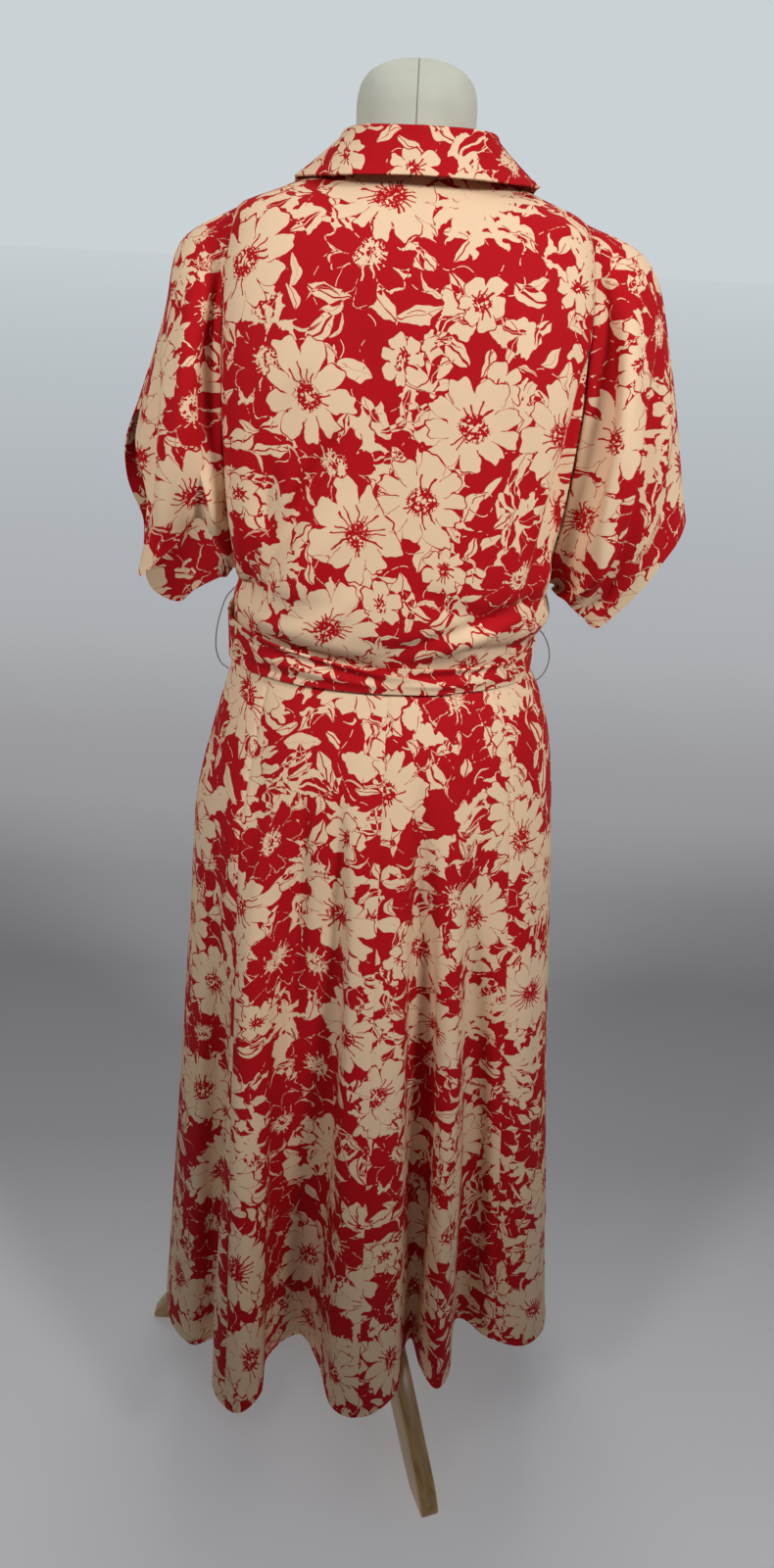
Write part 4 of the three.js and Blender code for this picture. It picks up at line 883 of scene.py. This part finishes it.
# Stand: steel pole, beech hub and three beech legs
# Each leg is a board with eased edges, cut to a curve that thins towards the floor, and varnished.
# One is made and the others are copies of it.
HUB_RADIUS, HUB_LOW, HUB_HIGH, LEG_THICK, EASED = 36, 92, 182, 20, 2.5
LEG_TOP = [[36.3, 172], [90, 150], [150, 108], [205, 62], [245, 28], [261, 4]]
LEG_UNDER = [[222, 0], [190, 20], [140, 56], [90, 84], [36.3, 100]]
LEG_TURNS = [-69.5, 178.3, 58.3]

# Varnished beech: brown streaks and pores along the grain, under a clear gloss
beech, tree = new_material("varnished_beech")
along = add(tree, "Attribute", attribute_name="grain")["Vector"]
grain_place = add(tree, "Mapping", sockets={"Vector": along, "Scale": (12, 160, 160)})[0]
figure = add(tree, "TexNoise", sockets={"Vector": grain_place, "Scale": 1, "Detail": 5, "Distortion": 0.5})[0]
pore_place = add(tree, "Mapping", sockets={"Vector": along, "Scale": (90, 1300, 1300)})[0]
pores = add(tree, "TexNoise", sockets={"Vector": pore_place, "Scale": 1, "Detail": 2})[0]
figure = add(tree, "Math", pores, 0.3, figure, operation="MULTIPLY_ADD")[0]
tone = add(tree, "ValToRGB", figure)
ramp = tone[0].node.color_ramp
ramp.elements[0].position, ramp.elements[0].color = 0.45, linear("B4864C")
ramp.elements[1].position, ramp.elements[1].color = 0.95, linear("E2BC80")
bump = add(tree, "Bump", sockets={"Height": pores, "Strength": 0.15, "Distance": 0.0002})[0]
surface = add(tree, "BsdfPrincipled", sockets={"Base Color": tone[0], "Roughness": 0.38, "Normal": bump,
                                               "Coat Weight": 0.4, "Coat Roughness": 0.2})[0]
add(tree, "OutputMaterial", surface)


def eased_part(part, node, slot, lean):
    """Eases a part's edges, notes the way of its grain, names it and gives it the varnished beech."""
    bpy.ops.object.select_all(action="DESELECT")
    part.select_set(True)
    bpy.context.view_layer.objects.active = part
    bevel = part.modifiers.new("eased", "BEVEL")
    bevel.width, bevel.segments, bevel.limit_method = EASED * MM, 3, "ANGLE"
    bevel.angle_limit = math.radians(50)
    bpy.ops.object.modifier_apply(modifier="eased")
    bpy.ops.object.shade_smooth_by_angle(angle=math.radians(35))
    co = np.empty(len(part.data.vertices) * 3, np.float32)
    part.data.vertices.foreach_get("co", co)
    grain = part.data.attributes.new("grain", "FLOAT_VECTOR", "POINT")
    grain.data.foreach_set("vector", (co.reshape(-1, 3) @ lean.T).astype(np.float32).ravel())
    part.name = node + "_" + slot
    part.data.materials.clear()
    part.data.materials.append(beech)


outline = np.vstack([through(LEG_TOP), [[259, 0]], through(LEG_UNDER)]) * MM
count = len(outline)
verts = [(x, side * LEG_THICK / 2 * MM, z) for side in (-1, 1) for x, z in outline]
faces = [list(range(count))[::-1], list(range(count, 2 * count))]
faces += [[i, (i + 1) % count, count + (i + 1) % count, count + i] for i in range(count)]
mesh = bpy.data.meshes.new("form_leg")
mesh.from_pydata(verts, [], [face[::-1] for face in faces])
leg = bpy.data.objects.new("form_leg", mesh)
scene.collection.objects.link(leg)
eased_part(leg, "form_leg_1", "beech", np.array([[0.87, 0, -0.49], [0.49, 0, 0.87], [0, 1, 0]]))
bpy.ops.mesh.primitive_cylinder_add(vertices=64, radius=HUB_RADIUS * MM, depth=(HUB_HIGH - HUB_LOW) * MM,
                                    location=(0, 0, 0))
hub = bpy.context.object
hub.data.transform(Matrix.Translation((0, 0, (HUB_LOW + HUB_HIGH) / 2 * MM)))
eased_part(hub, "form_hub", "beech", np.array([[0, 0, 1], [1, 0, 0], [0, 1, 0]]))
stand = [(hub, "form_hub", 0)]
for i, turn in enumerate(LEG_TURNS):
    part = leg if i == 0 else bpy.data.objects.new("form_leg_%d_beech" % (i + 1), leg.data.copy())
    if i:
        scene.collection.objects.link(part)
    stand.append((part, "form_leg_%d" % (i + 1), turn))
for part, node, turn in stand:
    part.data.transform(Matrix.Translation(AXIS) @ Matrix.Rotation(math.radians(turn), 4, "Z"))
    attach(part, "root")
    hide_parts(node)

# Brushed steel: bright, with streaks along the pole that blur its gloss
steel, tree = new_material("brushed_steel")
place = add(tree, "TexCoord")["Object"]
brush_place = add(tree, "Mapping", sockets={"Vector": place, "Scale": (40, 40, 900)})[0]
brushed = add(tree, "TexNoise", sockets={"Vector": brush_place, "Scale": 2, "Detail": 3})[0]
rough = add(tree, "Math", brushed, 0.25, 0.22, operation="MULTIPLY_ADD")[0]
surface = add(tree, "BsdfPrincipled", sockets={"Base Color": linear("B9BBBD"), "Metallic": 1.0, "Roughness": rough})[0]
add(tree, "OutputMaterial", surface)

pole_object = bpy.data.objects["form_pole"]
pole_object.data.materials.clear()
pole_object.data.materials.append(steel)

# Floor and light
# A seamless pale floor under soft lamps from the ceiling, with painted shade in its colour, which darkens towards the
# back, and a painted glow of light, which makes it lighter in front and lighter still towards the back.
bpy.ops.object.select_all(action="DESELECT")
bpy.ops.mesh.primitive_plane_add(size=120)
floor = bpy.context.object
floor.name = "floor"
# Painted shade: the floor's own colour darkens from pale grey in front to black behind the dress, where only the
# painted glow shows.
FLOOR_PAINTED_SHADE_TONES = [(0.16, "E0E0E3"), (0.21, "D0D0D2"), (0.25, "C0C0C2"), (0.32, "A6A6A8"), (0.36, "929294"),
               (0.42, "000000")]
# Painted light: the floor glows in front of the dress, and more and more towards the back, though it is no lamp.
FLOOR_PAINTED_LIGHT_TONES = [(0.01, "000000"), (0.13, "8A8A8C"), (0.2, "6E6E70"), (0.25, "4E4E50"), (0.31, "424244"), (0.35, "666668"),
              (0.387, "8C8C90"), (0.42, "9C9CA0"), (0.485, "ABADB1"), (0.62, "B3B8BC"), (0.82, "BEC6C9"),
              (0.99, "CBD2D5")]
painted_light_floor, tree = new_material("studio_floor_painted_light_and_shade")
place = add(tree, "TexCoord")["Object"]
behind = math_node(tree, "ADD", add(tree, "SeparateXYZ", place)[1], 1)
behind = math_node(tree, "MAXIMUM", behind, 0)
behind = math_node(tree, "DIVIDE", behind, math_node(tree, "ADD", behind, 4))
ramps = []
for tones in (FLOOR_PAINTED_SHADE_TONES, FLOOR_PAINTED_LIGHT_TONES):
    tone = add(tree, "ValToRGB", behind)[0]
    ramp = tone.node.color_ramp
    for at, shade in tones:
        ramp.elements.new(at).color = linear(shade)
    ramp.elements.remove(ramp.elements[0])
    ramp.elements.remove(ramp.elements[-1])
    ramps.append(tone)
# The floor's emission is its painted glow of light.
surface = add(tree, "BsdfPrincipled", sockets={"Base Color": ramps[0], "Roughness": 1.0, "Specular IOR Level": 0.0,
                                               "Emission Color": ramps[1], "Emission Strength": 1.0})[0]
add(tree, "OutputMaterial", surface)
floor.data.materials.append(painted_light_floor)

world = bpy.data.worlds.new("studio")
world.use_nodes = True
scene.world = world
tree = world.node_tree
xyz = add(tree, "SeparateXYZ", add(tree, "TexCoord")["Generated"])
height = math_node(tree, "SUBTRACT", xyz[2], math_node(tree, "MULTIPLY", xyz[1], 0.5))
height = math_node(tree, "MAXIMUM", height, xyz[2])
height = add(tree, "MapRange", height, 0.17, 0.26)[0]
tone = add(tree, "Mix", height, data_type="RGBA", sockets={6: linear("CBD2D5"), 7: linear("484B4E")})[2]
tree.links.new(tone, tree.nodes["Background"].inputs["Color"])
for name, kind, place, aim, size, power in (
    ("ceiling_key", "AREA", (-0.1, -0.6, 2.4), (-0.1, -0.6, 0), 1.0, 2.5),
    ("ceiling_back", "AREA", (0, 1.3, 2.6), (0, 1.3, 0), 1.2, 12),
    ("left_spot", "SPOT", (-1.25, -1.4, 2.15), (0.02, 0, 1.02), 0.25, 94),
    ("right_spot", "SPOT", (1.35, -1.35, 2.15), (0.04, 0, 1.02), 0.25, 142),
):
    lamp = bpy.data.lights.new(name, kind)
    lamp.energy = power
    if kind == "AREA":
        lamp.size = size
    else:
        lamp.shadow_soft_size, lamp.spot_size, lamp.spot_blend = size, math.radians(38), 1.0
    light = bpy.data.objects.new(name, lamp)
    scene.collection.objects.link(light)
    light.location = place
    light.rotation_euler = (Vector(aim) - Vector(place)).to_track_quat("-Z", "Y").to_euler()
scene.view_settings.view_transform = "Standard"
